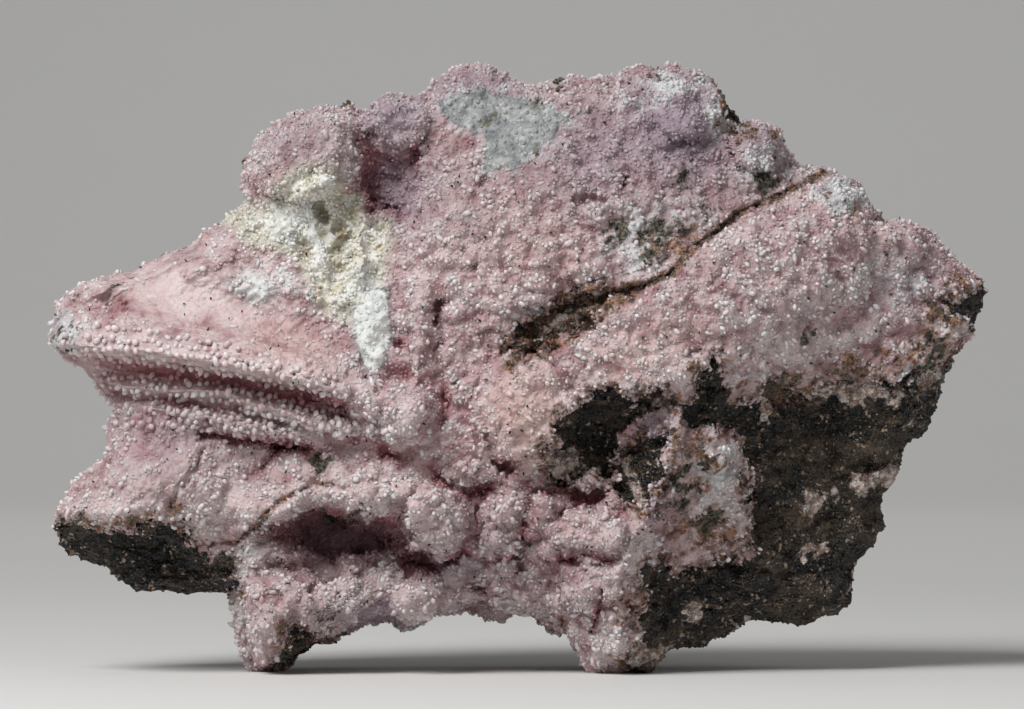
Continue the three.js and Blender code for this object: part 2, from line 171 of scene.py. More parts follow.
# %% Fine forms, in millimetres
FINE_LOBES = [
    ("upper wing lip", (-53.4, 48.8), (4.2, 1.6), 2),
    ("wing tip knob", (-57.6, 42.6), (2.2, 2), 1),
    ("salmon flank", (7.7, 32.9), (3.5, 3.3), 1.4),
    ("small cheek lobe", (-6.7, 25.6), (2.3, 1.8), 2.4),
    ("knuckle", (-0.9, 20.8), (1.9, 1.6), 2.2),
    ("twin knuckle", (3.1, 21), (1.9, 2.5), 2.2),
    ("low knuckle", (-2.5, 17.1), (2.8, 2.1), 2.2),
    ("button", (4, 16.1), (1.1, 1.1), 1.3),
    ("hem lobe", (-1.7, 9.2), (3, 2.1), 1.8),
    ("hem fold", (5.2, 9), (2.8, 2.5), 1.5),
    ("foot column", (12.5, 4.2), (2.1, 3.3), 1.8),
    ("round ball", (16.4, 0.7), (1.1, 1.1), 1.5),
    ("white band", (-50.8, 20.6), (6.6, 1.6), 1.4),
    ("block shoulder", (-35.1, 21.8), (5.3, 3), 1.4),
    ("cheek of the cavity", (-32.6, 14.9), (3.3, 2.3), 2),
    ("ledge nose", (-27.5, 21.2), (3.8, 1.6), 1.5),
    ("ledge middle", (-21.2, 21.8), (3.8, 2), 1.4),
    ("ledge end", (-16.7, 21.2), (2.5, 2.3), 1.5),
    ("lump in the cavity", (-17.6, 15.6), (1.6, 1.3), 1.6),
    ("hanging lobe", (-29.2, 20), (2, 1.3), 1.8),
    ("roof peak", (-24.6, 20.7), (3, 1.9), -4.4),
    ("hanging lobe 2", (-19.6, 19.8), (2.4, 2), 3),
    ("hanging lobe 3", (-15.2, 18.2), (2.2, 1.8), 3),
    ("cavity floor", (-28, 15.4), (2.8, 1.7), 2.6),
    ("cavity floor 2", (-21.8, 13.4), (2.4, 1.4), 1.4),
    ("lump under the tongue", (-30.2, 15.4), (2, 1.2), 1.2),
    ("low ledge lump", (-26.3, 12.6), (2.4, 1.5), 1.3),
    ("low ledge lump 2", (-21, 11.6), (2.8, 1.6), 1.3),
    ("low ledge lump 3", (-24.5, 8.2), (2.2, 1.4), 1.2),
    ("column knob", (-21.9, 47), (1.8, 1.8), 1.4),
    ("column", (-20, 51.8), (1.6, 3.3), 1.6),
    ("cream knob", (-24.6, 61.8), (2.2, 1.5), 1.2),
    ("cream brow", (-26.8, 60.4), (4.6, 2.6), 2.4),
    ("cream face", (-29.2, 57.2), (4.2, 3.4), 2.6),
    ("cream knee", (-34.5, 57.2), (1.9, 1.6), 1.2),
    ("cream shelf", (-19.8, 55.9), (2.6, 1.5), 1.6),
    ("drip", (-18.6, 44.5), (2.4, 5), 1.7),
    ("drip tip", (-17.6, 39.9), (1.3, 1.5), 1.2),
    ("cotton tuft", (-32.6, 48.5), (2.4, 1.8), 1.4),
    ("left foot toe", (-32.8, 2.9), (2, 2.5), 1.2),
    ("right shoulder knob", (50.6, 55.2), (3.3, 2), 1.2),
    ("light patch", (45, 23.5), (3.5, 1.5), 1),
    ("matrix lobe top", (23.6, 27.5), (4.5, 5.8), 1.4),
    ("recess left", (-18.1, 60.9), (1.6, 3.5), -1.4),
    ("recess right", (-13.3, 64.9), (1.1, 1.9), -1.8),
    ("recess knob", (-15, 67), (1.6, 1.4), 1.2),
    ("recess lump", (-15.6, 60.2), (1.3, 1.5), 1),
    ("recess floor", (-15.4, 58.1), (1.8, 0.9), -1.5),
    ("upper pocket", (13.3, 61.7), (0.9, 1), -1.5),
    ("slot pocket", (9.1, 59.5), (2.1, 0.6), -1.1),
    ("brow pocket", (-5.5, 51.1), (1.3, 0.9), -1.5),
    ("spine pocket 1", (-10.3, 46.4), (0.8, 0.8), -1.4),
    ("spine pocket 2", (-10.3, 44.4), (0.5, 0.9), -1.2),
    ("spine pocket 3", (-14.8, 41.6), (1, 1), -1.4),
    ("spine pocket 4", (-9.3, 35), (1.4, 1.6), -1.9),
    ("crimson pocket", (-15.9, 27.8), (1.8, 0.9), -1.9),
    ("wing pit", (-49.6, 46.4), (1.1, 0.6), -0.8),
    ("wing dot", (-25.5, 38.2), (0.8, 0.8), -0.9),
    ("cap pocket", (-3.6, 61.7), (1.6, 0.9), -1.2),
    ("blush pit", (-35.1, 52.3), (1, 1), -0.7),
    ("fan root", (-28.8, 28.4), (2.8, 1), -2.2),
    ("cheek pit", (-14.3, 24.6), (1.8, 0.5), -1.4),
    ("cheek pit 2", (-9.9, 25.1), (1, 1.1), -1.5),
    ("maroon pocket", (-1.3, 26.5), (2.1, 1.3), -3),
    ("maroon floor", (-4.6, 23.1), (3, 1.4), -2.6),
    ("between knuckles", (0.8, 18.3), (0.9, 1.9), -2.6),
    ("arch foot pocket", (8.4, 22.4), (3.4, 1.4), -4.2),
    ("arch foot slot", (4, 23), (2.4, 1), -2.4),
    ("cavity end", (-12.6, 14.2), (3.8, 1.8), -5),
    ("cavity end 2", (-8.6, 14.9), (1.4, 1), -2.4),
    ("hem pit", (0.2, 13.5), (1.5, 0.9), -1.4),
    ("hem pit 2", (-5.2, 11), (1.5, 1), -1.5),
    ("red hollow", (-31.3, 9.9), (2.4, 1.1), -1.2),
    ("thumb hollow", (-31.6, 13.5), (1.8, 0.5), -1.3),
    ("brown hollow", (-27.2, 61.6), (1.1, 0.9), -0.6),
    ("shadowed flank", (-18.1, 7.7), (3, 1.8), -2),
    ("shelf pit", (21.9, 40.4), (1.1, 0.5), -1),
    ("purple dish", (16.6, 31.9), (2.8, 2.3), -1.6),
    ("right tip pit", (55.4, 47), (2.5, 1), -1),
]
FINE_RIDGES = [
    ("first rib", [(-57.8, 41.4), (-52.1, 40.7), (-46.4, 40.5), (-40.1, 39.6), (-33.8, 38.2),
                   (-27.5, 37.1), (-21.9, 35.6)], 1.1, 1.6),
    ("second rib", [(-53.7, 36.8), (-49, 36.2), (-43.3, 35.7), (-37, 35.5), (-32.3, 33.9),
                    (-27.5, 32.7), (-21.9, 31)], 1.3, 2.4),
    ("third rib", [(-46.7, 33.9), (-41.4, 32.9), (-37.6, 32.3), (-32.6, 31.3), (-27.5, 30.2)],
     0.9, 1.1),
    ("faint rib", [(-53, 42.6), (-45.2, 41.6), (-38.2, 40.5), (-30.1, 38.7)], 1, 0.8),
    ("spine edge", [(-12.4, 47), (-12.7, 41.4), (-12.8, 34.4), (-13.3, 30.9)], 1.6, 1),
    ("fan handle", [(-27.5, 32.2), (-21.9, 31.2), (-14.9, 30.4)], 1.1, 1.2),
    ("blade edge", [(20.1, 32.9), (18.8, 27.5), (17.2, 23.1), (15.7, 20.3), (14, 16.2),
                    (12.5, 13.5)], 1.1, 2),
    ("foot rib", [(12.8, 12.4), (12.5, 6.7), (12.2, 2.3)], 1.3, 1.4),
    ("wedge lip", [(0.1, 46.7), (4.2, 47.2), (10.3, 48.8), (16.6, 49.7)], 0.9, 1),
    ("cream rib", [(-26.6, 59.6), (-25.2, 55.2), (-24, 50.6)], 1.2, 1.2),
    ("cream rib 2", [(-24.4, 60), (-23.4, 56.4)], 0.9, 0.9),
    ("cream rib 3", [(-19.6, 54.6), (-19.9, 49.6)], 1.1, 1.2),
    ("white streak", [(17.5, 27.5), (17.1, 25.4)], 0.5, 0.8),
    ("shoulder lip", [(10.3, 34.4), (16.6, 36.3), (22.9, 39.2), (30.4, 39.7), (35.5, 42.3)],
     1.8, 1),
    ("first groove", [(-57, 40), (-52.1, 39.1), (-46.4, 38.6), (-40.1, 37.6), (-35.1, 36.7),
                      (-28.8, 35.5), (-21.9, 34.2)], 1.2, -2.7),
    ("second groove", [(-53.7, 35.3), (-49, 34.8), (-43.9, 34.1), (-38.2, 33.3), (-33.8, 32.4),
                       (-28.8, 30.9)], 0.8, -1.6),
    ("third groove", [(-39.5, 30.2), (-35.1, 29.8), (-30.7, 29), (-26, 28.7)], 1, -2),
    ("faint groove", [(-53.2, 43.6), (-46.4, 42.8), (-38.6, 41.5), (-33.8, 40.5)], 0.6, -0.9),
    ("face groove", [(-51.5, 46.4), (-45, 45), (-38, 43.4), (-33, 41.9)], 0.7, -0.6),
    ("groove mouth", [(-31.5, 29.6), (-29, 28.6), (-26.4, 28.2)], 1.1, -1.8),
    ("lip crack", [(-48.4, 50.2), (-50.4, 48.9), (-52, 47.4), (-55.4, 46.2)], 0.6, -1.5),
    ("seam", [(38.7, 63.2), (35.3, 61.5), (31.7, 59.5), (28, 58.1), (24.6, 55.5), (21.4, 53.1),
              (19, 50.2), (16.4, 49.2), (12.8, 48.3), (9, 47), (4.1, 45.7)], 0.6, -1.3),
    ("seam wedge", [(11, 47.4), (6.5, 44.8), (2.7, 42.3), (-0.6, 40.2)], 1.9, 0.9),
    ("ledge crack", [(-23.2, 24), (-25.5, 24.1), (-27.7, 23), (-30.1, 21.5), (-31.6, 20.2),
                     (-33.2, 18.6), (-35.3, 16.7), (-38.4, 16.4)], 0.5, -1.1),
    ("beside the spine", [(-10.3, 47), (-9.7, 43.3), (-10.2, 39.6), (-9.1, 35.1), (-9.9, 31.4)],
     1.3, -0.9),
    ("cream crevice", [(-24.9, 58.6), (-23.3, 56.6), (-21, 55.9), (-21.9, 54.2), (-23.2, 52.6),
                       (-22.2, 50.8)], 1.1, -1.1),
    ("cream crevice 2", [(-27.4, 54.6), (-26.4, 52.4)], 0.8, -1),
    ("fold", [(6.4, 14.2), (8.6, 15.2), (11.8, 14.5)], 0.8, -1.4),
    ("low fold", [(-6.8, 15.4), (-3.6, 14.2), (-0.2, 15)], 0.9, -1.3),
    ("foot groove", [(10.6, 10.5), (10, 8), (9.3, 5.5)], 0.6, -2),
    ("foot groove 2", [(14.3, 12.4), (13.8, 7.7)], 0.5, -1),
    ("plate crack", [(42.8, 26.1), (48.7, 26.6)], 0.6, -2),
    ("block crack", [(-39.4, 28.1), (-40.6, 25.4), (-42.4, 23.4), (-43.9, 20.3)], 0.5, -0.9),
    ("salmon crease", [(-4.1, 30.7), (-3.3, 27.9), (-2.3, 25.6)], 0.6, -1.2),
    ("knuckle crease", [(-5.1, 20.8), (-5.1, 16.2)], 0.5, -1.2),
    ("mound crease", [(-20.4, 71), (-20, 67.2), (-19.4, 62), (-18.4, 58.4)], 0.9, -1.8),
]
# name, how far the crust's edge stands proud of the bare matrix, outline
BARE = [
    ("lower right", 0.8, [
        (61.9, 40.6), (57, 40.2), (54, 38.4), (51.5, 39.2), (48, 37), (44, 36.6), (40.8, 37.4),
        (37.4, 36.2), (34.4, 36.6), (31.1, 36.6), (28.9, 34.7), (26.4, 33.9), (24.4, 40),
        (22.5, 39.2), (21.6, 34.7), (19.8, 33.9), (22.9, 30.4), (27.7, 30.9), (28.9, 25.6),
        (29.4, 21.2), (28.9, 14.8), (23.5, 13.5), (19.3, 12.8), (16.3, 14.8), (15.3, 14),
        (16.1, 9.2), (14.6, 4.2), (13.8, -3.4), (61.9, -3.4)]),
    ("arch", 2.2, [
        (2.7, 28.4), (4.7, 29.4), (4.3, 31.8), (8.9, 35.1), (11, 36.1), (14.8, 35.7), (18, 35.5),
        (18.8, 33.9), (16.6, 33.4), (15.2, 32.8), (13, 30.5), (12.4, 26.5), (11, 24.6),
        (8.5, 26.1), (6.4, 24.2), (3.7, 24.9)]),
    ("behind the blade", 1.6, [
        (13, 27.9), (15.3, 29.4), (17.8, 31.3), (19.3, 29.4), (18.8, 25.6), (17.2, 21.8),
        (15.3, 20.6), (13, 21.8), (12.3, 25.6)]),
    ("lower left", 2.2, [
        (-60.9, 19.3), (-55.9, 18.7), (-48.8, 18.1), (-44.8, 19.8), (-42.9, 18.8), (-40.6, 15.8),
        (-39.4, 14.5), (-36.5, 13.9), (-35.7, 10.3), (-39, 9), (-50.8, 8), (-54, 11.8),
        (-60.9, 13.7)]),
    ("left foot sole", 0.8, [
        (-27.8, 6.5), (-25.8, 4.2), (-22.5, 4.5), (-26, 1.7), (-31.1, 0.2), (-30.1, 3.6),
        (-28.8, 5.5)]),
    ("right tip", 0.6, [
        (52.4, 46.8), (54.4, 47.9), (56.3, 47), (58.8, 48.3), (60.7, 47), (58.8, 43.3),
        (55.9, 44.8), (53.1, 45.7)]),
    ("top right edge", 0.6, [
        (25.4, 73.5), (27.3, 72.2), (28.5, 69.5), (27.4, 67.7), (26.1, 69), (25.6, 71.2)]),
    ("seam wedge", 1, [
        (-1.6, 43), (-1.1, 40.7), (-0.6, 39), (1.1, 39.5), (4.7, 42), (8.4, 44.3), (10.3, 46),
        (12.8, 47.6), (11, 48.8), (7.4, 47.3), (4.2, 46.7), (3.3, 44.8), (1.2, 44)]),
]
CREAM_EDGE = [
    (-36.5, 57.8), (-33.5, 58.2), (-30.5, 59.6), (-28.6, 62.2), (-25.6, 63.2), (-23, 62.6),
    (-22.4, 60.4), (-20.4, 60), (-19.6, 56.4), (-16.2, 56.8), (-17.2, 52.4), (-17.6, 49.4),
    (-21, 44.8), (-23.6, 46), (-25.4, 49), (-26, 51.4), (-28.6, 53.8), (-33, 55),
]
CAP_EDGE = [
    (-10.1, 71.5), (-7, 73.5), (-1, 72.8), (2.6, 71.8), (6.2, 69.6), (4.4, 67.8), (1.8, 65),
    (-0.8, 63.4), (-4.3, 63.2), (-4.6, 66), (-3.6, 68), (-6, 68.2), (-8.4, 69.4),
]
DRIP_EDGE = [
    (-20.8, 48.2), (-17, 48.4), (-15.8, 44), (-16.4, 40), (-18, 37.9), (-19.4, 39.2), (-20.5, 43.4),
]

# %% [markdown]
# ## Where the colours are
# Smithsonite is tinted by traces of metal, so its colour changes from place to place. These are
# the spots of each tint on the face. A spot's strength says how fully the tint takes over there.
# Some lists are painted shade instead: the ones that darken the top and the lower parts, the
# cavity and the pockets, the crimson grooves, part of the mauve and a few dark spots in the cavity.

# %% Tinted spots, in millimetres
# name, middle (x, z), half sizes, turn in degrees, strength
SPOTS = {
    "rust": [
        ("top of the block crack", (-40.3, 26.9), (0.9, 1.3), 0, 1),
        ("block crack", (-41, 24.4), (1.6, 1), 0, 0.9),
        ("lip of the block", (-43, 21.6), (1.1, 1.9), 0, 0.9),
        ("left corner", (-57.8, 20), (1.1, 1.1), 0, 0.8),
        ("rim over the wedge", (-49, 18.8), (5.5, 0.6), 0, 0.8),
        ("rim at the notch", (-41.4, 10.3), (2.8, 0.9), 0, 0.7),
        ("hem", (4.6, 6.1), (2.5, 1.3), 0, 0.8), ("right edge knob", (31.7, 68.1), (0.9, 1), 0, 1),
        ("brow", (11.4, 72.5), (1.1, 0.9), 0, 0.9), ("seam head", (38.5, 60.5), (0.8, 1), 0, 0.7),
        ("seam head side", (42, 58.1), (0.9, 1.9), 0, 0.6),
        ("right tip", (55.4, 49.2), (2.5, 1.5), 0, 0.9),
        ("behind the cream", (-22.4, 55.2), (1.6, 1.4), 0, 0.8),
        ("cream brown", (-27.6, 61.4), (1.2, 0.9), 0, 0.7),
        ("cream brown 2", (-31.6, 57.6), (1, 0.8), 30, 0.7),
        ("low cream brown", (-25, 47.4), (1, 1.3), 0, 0.7),
        ("cream corner", (-35.6, 57.6), (1, 0.7), 0, 0.6),
        ("lobe spots", (22.2, 27.5), (3.3, 4.5), 0, 0.75),
        ("lobe foot", (23.1, 18.1), (6.3, 3.4), 0, 1),
        ("side of the right foot", (13, 9.2), (1.6, 4.5), 0, 0.8),
        ("sole of the right foot", (14.6, 1.9), (4.8, 1.5), 0, 0.8),
        ("shelf corner", (6, 26.6), (2.5, 1.9), 0, 0.9),
        ("band at the plate", (34.8, 35.5), (5.5, 3.5), 0, 0.9),
        ("band above the plate", (42, 38.6), (6, 3), 0, 0.75),
        ("band patch", (39.6, 36.8), (2.6, 2), 0, 1),
        ("band patch 2", (46.6, 39.6), (2.6, 2.2), 0, 0.9),
        ("band streak", (51.8, 45.4), (1.6, 1), 20, 1),
        ("lobe brown", (24.6, 27), (1.3, 1.2), 0, 1.3),
        ("lobe brown 2", (23.2, 24.2), (2.4, 1.1), 0, 1.3),
        ("band at the right", (52.6, 41.4), (5.5, 3.5), 0, 1),
        ("band tail", (27.9, 35.5), (3, 1.8), 0, 0.8),
        ("over the seam", (18.1, 54.6), (5.8, 3.8), 10, 0.75),
        ("wedge", (6, 44.4), (8, 2.6), 33, 1.7),
        ("ledge crack side", (-27.5, 23.9), (3.8, 1.1), -20, 0.5),
        ("left foot sole", (-27.5, 4.2), (3.3, 1.5), 0, 0.7),
        ("toe of the wedge", (-55.9, 15.5), (3.8, 1.3), 0, 0.3),
    ],
    "dark": [
        ("speckles left", (12.6, 55.2), (2.6, 2.6), 0, 0.85),
        ("speckles low", (16.4, 52.4), (3.6, 1.6), 25, 0.75),
        ("speckles right", (19.6, 55.8), (2.4, 1.8), 0, 0.75),
        ("seam head dark", (30.8, 62), (2.8, 2.8), 0, 0.9),
        # painted shadow: these three rows darken the roof and the end of the cavity, as shade
        # between its crystals
        ("cavity roof", (-23, 19.4), (6, 2.2), 0, 0.68),
        ("cavity end", (-12, 14.4), (3, 1.5), 0, 0.64),
        ("cavity roof 2", (-17, 17), (3, 1.6), 0, 0.55),
        ("wing tip", (-57.6, 43.2), (1.2, 0.9), 0, 0.9),
        ("wing tip vein", (-55.3, 44.2), (1, 1.6), 30, 0.9),
        ("wing tip dot", (-57.2, 41.3), (0.8, 0.6), 0, 0.9),
        ("lip crack", (-51, 48.4), (2.6, 0.5), 32, 0.9),
        ("crystal nest", (-24.8, 26.9), (1.4, 1.6), 0, 1.1),
        ("notch", (-37.1, 14), (2.4, 2), 0, 0.95), ("brow bit", (5.1, 74.3), (1.1, 0.8), 0, 1),
        ("brow bit 2", (10.8, 74.5), (1.8, 0.6), 0, 0.9),
        ("brow bit 3", (17.2, 75.9), (1.1, 0.8), 0, 0.8),
        ("brow bit 4", (3, 71.7), (1.3, 0.5), -20, 0.8),
        ("cap pit", (-3.4, 69.7), (1.3, 0.6), -15, 1),
        ("cap pit 2", (2.1, 65.5), (0.6, 0.7), 0, 0.8),
        ("cap edge", (2.4, 71.6), (1.3, 0.5), 10, 1),
        ("olive spot", (20.5, 62.5), (1.4, 1.7), 0, 1.05),
        ("dendrites", (31.1, 62.2), (2.8, 2.8), 0, 0.8),
        ("over the seam", (17.2, 55.6), (4.3, 2.8), 10, 0.75),
        ("over the seam 2", (22.9, 58.1), (2, 3.8), 30, 0.6),
        ("seam tail", (25.4, 58.1), (5, 1.5), -28, 0.5),
        ("ledge crack", (-32.8, 18.7), (3.8, 1), -35, 0.7),
        ("right band", (41.8, 38), (7.6, 3.8), 0, 0.6),
        ("right band 2", (51.6, 38), (2.4, 3), 0, 1),
        ("right lens", (52.4, 41.4), (2.2, 1), -20, 1.2),
        ("over the band", (36.4, 42.6), (2.6, 1.7), 0, 0.75),
        ("band start", (33, 37.4), (3, 1.2), -20, 0.8), ("lobe", (23.2, 26.2), (1.1, 0.9), 0, 1.2),
        ("lobe 2", (20.6, 26), (1.3, 0.9), 0, 1.1), ("lobe 3", (20.8, 23.2), (1.7, 1), 0, 1.1),
        ("under the lobe", (24, 19.4), (4.5, 2.2), 0, 0.75),
        ("lobe edge", (20.1, 21.8), (1.8, 3.3), 0, 0.75),
        ("shelf corner", (5.2, 27.5), (2.8, 1.8), 0, 0.7),
        ("foot", (15.3, 9.2), (1.3, 3.8), 0, 0.5), ("plate corner", (31.7, 34.4), (2, 1.5), 0, 0.6),
    ],
    "frost": [
        ("speckle ground", (15.4, 55), (6.4, 4.2), 20, 0.85),
        ("right brow top", (19.8, 74.2), (6, 1.8), 0, 0.8),
        ("seam head", (40.8, 60.2), (4.8, 3), 0, 0.9),
        ("right brow", (25.6, 70.7), (3, 4.3), 0, 0.8), ("brow", (15.3, 72.2), (7.6, 2.5), 0, 0.5),
        ("beside the speckles", (15.3, 51.8), (5, 2.5), 25, 0.6),
        ("under the speckles", (21.6, 56.5), (4.3, 5.5), 30, 0.45),
        ("right edge", (30.7, 63.4), (3.5, 4.3), 0, 0.7),
        ("wing tip", (-57, 43.2), (3, 3), 0, 0.95),
        ("wedge shore", (1.7, 45.5), (2.8, 1.1), 0, 0.9),
        ("right slope", (31, 47.5), (11, 6), 0, 0.2), ("right mass", (47, 50), (9, 5), -25, 0.5),
        ("low tuft", (-22.6, 47.2), (2.6, 1.6), 0, 0.6),
        ("plate blob", (31.2, 33.4), (1.5, 1.1), 0, 1),
        ("band blob", (49.3, 37.2), (1.5, 1.9), 0, 0.9),
        ("right rim", (55.6, 47), (2, 2.8), 0, 0.5), ("lobe", (24.2, 25.6), (4.3, 5), 0, 0.7),
        ("notch shore", (-35.1, 10.5), (1.5, 4.3), 0, 0.6),
        ("cavity shore", (-33.2, 16.2), (2.8, 2), 0, 0.5),
    ],
    "pale": [
        ("wing face", (-41.4, 47.4), (10, 3.2), -14, 1.1),
        ("first rib", (-42, 40.8), (14, 1), -8, 0.5),
        ("wing shoulder", (-35.1, 51.8), (5.8, 2), -30, 0.5),
        ("block band", (-50.8, 20.3), (7.6, 1.8), 0, 1),
        ("block side", (-37.4, 21.8), (5.5, 5.5), 0, 0.75),
        ("low rib", (-21.2, 29.4), (7.6, 4.3), 0, 0.5),
        ("ledge", (-14.9, 24.4), (7.6, 2.8), 0, 0.5),
        ("shelf corner", (9, 32.9), (2.8, 4.3), 0, 0.9),
        ("blade", (19.8, 33.2), (1.8, 4.3), 0, 0.7), ("lobe", (24, 24.4), (4.6, 6), 0, 0.9),
        ("strip", (14.8, 15.8), (2.5, 3.8), 0, 0.9),
        ("right ridge edge", (22.9, 37.7), (11.3, 2.3), -20, 0.7),
        ("band swirl", (41, 42.4), (5, 1.5), 10, 0.9),
        ("band corner", (54, 44.2), (2.8, 1.8), 0, 1), ("band root", (33, 40.8), (5, 2.5), 0, 0.8),
        ("hem", (-9.9, 9.2), (6.3, 1.5), 0, 0.5), ("hem right", (0.2, 8.6), (5, 1.5), 0, 0.4),
        ("right foot", (11.8, 4.2), (2.8, 4.3), 0, 0.8),
        ("cavity cheek", (-33.8, 14.3), (3.8, 3.3), 0, 0.5),
        ("slope", (-8.6, 53.3), (7.6, 6.3), 0, 0.35),
        ("right slope", (32.9, 47), (7.6, 5), 0, 0.35),
    ],
    "salmon": [
        ("bulge", (0.8, 32.8), (5.8, 6.3), 0, 1), ("cheek", (15.3, 40.7), (8.8, 3.8), 20, 0.5),
        ("right mass", (48.7, 52.7), (8.8, 4.3), -20, 0.5),
        ("wing middle", (-28.8, 40.7), (7.6, 3.8), -20, 0.5),
        ("upper middle", (2.7, 53.3), (10.1, 6.3), 0, 0.35),
    ],
    "whiteness": [
        ("cream face", (-29.2, 57.2), (4, 3), 0, 0.8),
        ("cream blade", (-25.2, 55.2), (1.2, 4.4), 18, 0.9),
        ("cream foot", (-19.4, 49), (2.4, 3), 0, 0.6),
        ("cotton tuft", (-32.8, 48.5), (3.4, 2.2), 0, 1.1),
        ("wisp", (-29.2, 49.6), (2.6, 1), -20, 0.6),
    ],
    # painted shade: near black colour in the cavity, the recess and the pocket under the arch,
    # where shade falls
    "painted_pocket_shade": [
        ("cavity", (-22.6, 18.2), (7.6, 2.8), -6, 0.85),
        ("cavity end", (-12.4, 14.2), (3.4, 1.5), -15, 0.75),
        ("recess", (-16.6, 60.6), (2.6, 5.4), 0, 0.5),
        ("under the arch", (3.6, 24.4), (3, 1.6), 0, 0.5),
    ],
    # painted shade: darkens the top, the right top, the left mound, the low middle, the left foot,
    # the block and the low wing, where less light falls
    "painted_shade": [
        ("top", (-4, 66), (36, 13), 0, 0.75), ("left mound", (-26, 67), (9, 7), 0, 0.7),
        ("right top", (22, 66), (13, 11), 0, 0.9), ("low middle", (-2, 12), (16, 9), 0, 0.6),
        ("left foot", (-28, 8), (9, 8), 0, 0.5), ("block", (-44, 27), (12, 7), 0, 0.5),
        ("low wing", (-40, 31), (14, 4), 0, 0.4),
    ],
    # partly the mineral's own mauve and lilac, partly painted shade where the top, the right side
    # and the pockets turn away from the light
    "mauve": [
        ("recess", (-15, 61.4), (4.2, 6), 0, 0.85), ("cavity", (-21.5, 16.4), (9.5, 3), 0, 0.6),
        ("under the hem", (-18.2, 7.7), (4.3, 2), 0, 0.9),
        ("left mound", (-28.5, 67.5), (6.3, 4), 0, 0.35),
        ("second mound", (-15.8, 70.2), (4.8, 4), 0, 0.95),
        ("top", (-5.5, 74.1), (6.9, 2.8), 0, 0.8), ("right top", (20.3, 68.7), (9.5, 8.5), 0, 0.95),
        ("lilac lobe", (31, 66.5), (4, 4), 0, 0.7),
        ("middle top", (10.3, 65.9), (8.8, 7.6), 0, 0.6), ("right rim", (50, 51), (7, 6), -30, 0.5),
        ("block", (-43.9, 29.4), (7.6, 4.3), 0, 0.3),
        ("arch lining", (16.8, 32.6), (3.8, 4.3), 0, 0.9),
        ("blade foot", (17.2, 21.2), (2.3, 2.5), 0, 0.8),
        ("low middle", (-6.1, 14.3), (8.8, 5), 0, 0.3),
    ],
    # painted shade: deep pink in the grooves, pockets, folds and the cavity, as shade looks there;
    # it joins the hollow tint
    "crimson": [
        ("wing", (-45, 38.3), (11.3, 0.9), -8, 0.9),
        ("wing end", (-28, 35.2), (6.3, 1.1), -18, 0.9),
        ("under the lip", (-50.2, 46.4), (2.2, 1), 10, 0.8),
        ("blush", (-35.1, 52.3), (1.6, 1.2), 0, 0.7),
        ("wing streak", (-49, 45.2), (5, 0.6), -12, 0.5),
        ("wing dot", (-25.5, 38.2), (1, 1), 0, 0.8), ("low wing", (-47, 27.9), (1.4, 0.8), 0, 0.6),
        ("fan root", (-16.4, 27.5), (3, 1.3), 0, 1), ("middle", (-2.3, 25.6), (7.6, 5), 0, 0.35),
        ("cavity", (-21.9, 16.6), (8.6, 3.2), 0, 0.9),
        ("cavity end", (-12.6, 14.4), (3.6, 1.8), 0, 0.9),
        ("red hollow", (-31.3, 9.6), (3, 1.1), 0, 0.8),
        ("beside the cap", (-7.4, 67.2), (3.3, 2.3), 0, 0.5),
        ("above the seam", (5.2, 47), (2.5, 1.8), 0, 0.3),
        ("low folds", (5.2, 21.8), (8.8, 5), 0, 0.4),
        ("spine side", (-11.8, 39.5), (1.8, 7.6), 0, 0.5),
    ],
    "coal": [
        ("arch", (9.5, 31.5), (7, 5), 0, 1), ("plate top", (26, 32), (7, 7), 0, 1),
        ("under the band", (36.6, 32.6), (9, 4.6), 0, 1),
        ("left wedge", (-48, 14), (14, 7), 0, 1.3), ("right edge", (45.5, 34), (5, 4), 0, 0.8),
        ("foot", (26, 10), (7, 4.5), 0, 0.8), ("right tip", (56, 46), (4, 3), 0, 1),
        ("behind the blade", (16, 25), (4, 5), 0, 0.9), ("plate end", (41, 14), (5, 4), 0, 0.5),
    ],
    "islands": [
        ("wedge", (5.4, 44), (7.5, 1.8), 33, 0.62), ("light band", (45, 24.2), (4.4, 1.5), 5, 1.2),
        ("light spot", (37.4, 15.4), (2, 1.2), 0, 1.1),
        ("outline", (49.8, 31.6), (1.1, 1.8), 0, 0.7),
        ("right corner", (42.7, 11.5), (1.1, 1.8), 0, 0.8),
        ("foot spot", (22.1, 7.6), (1.3, 1.6), 0, 0.9),
        ("low rim", (28.2, 6.1), (1.8, 0.9), -20, 0.9), ("sole", (15.3, 2.3), (5, 2), 0, 1),
        ("foot side", (13.4, 8), (2.5, 5), 0, 0.8), ("plate blob", (31.2, 33.4), (1.8, 1.3), 0, 1),
        ("shelf corner", (5.2, 26.4), (3.3, 2.1), 0, 0.95),
        ("plate top", (41.8, 35.6), (11.3, 2.2), -4, 0.7),
        ("plate right", (52.6, 38), (3.8, 4.3), 0, 0.6),
        ("crumbs", (37.6, 21.8), (3.4, 2.2), 0, 0.7),
        ("crumbs 2", (39.2, 10.5), (3.8, 2.5), 0, 0.4),
        ("white streak", (17.3, 26.8), (0.4, 1.3), 8, 1.2),
    ],
}
# a lining of pale crust on the side of the arch hollow
LINING = [(18.8, 35.1), (15.3, 31.9), (13, 29.4), (13.8, 25.6), (15.3, 21.8), (17.8, 20.3)]

# %% [markdown]
# ## How the forms add up
# Each form falls off with the distance from its middle, measured in its own half sizes. A swelling
# fades smoothly at both ends, and a lobe is round like a ball, which leaves a crease at its foot.

# %% Distances and falls


def fade(distance):
    return np.clip(1 - distance**2, 0, 1) ** 2


def dome(distance):
    return np.sqrt(np.clip(1 - distance**2, 0, 1))


def soft_step(value, low, high):
    t = np.clip((value - low) / (high - low), 0, 1)
    return t * t * (3 - 2 * t)


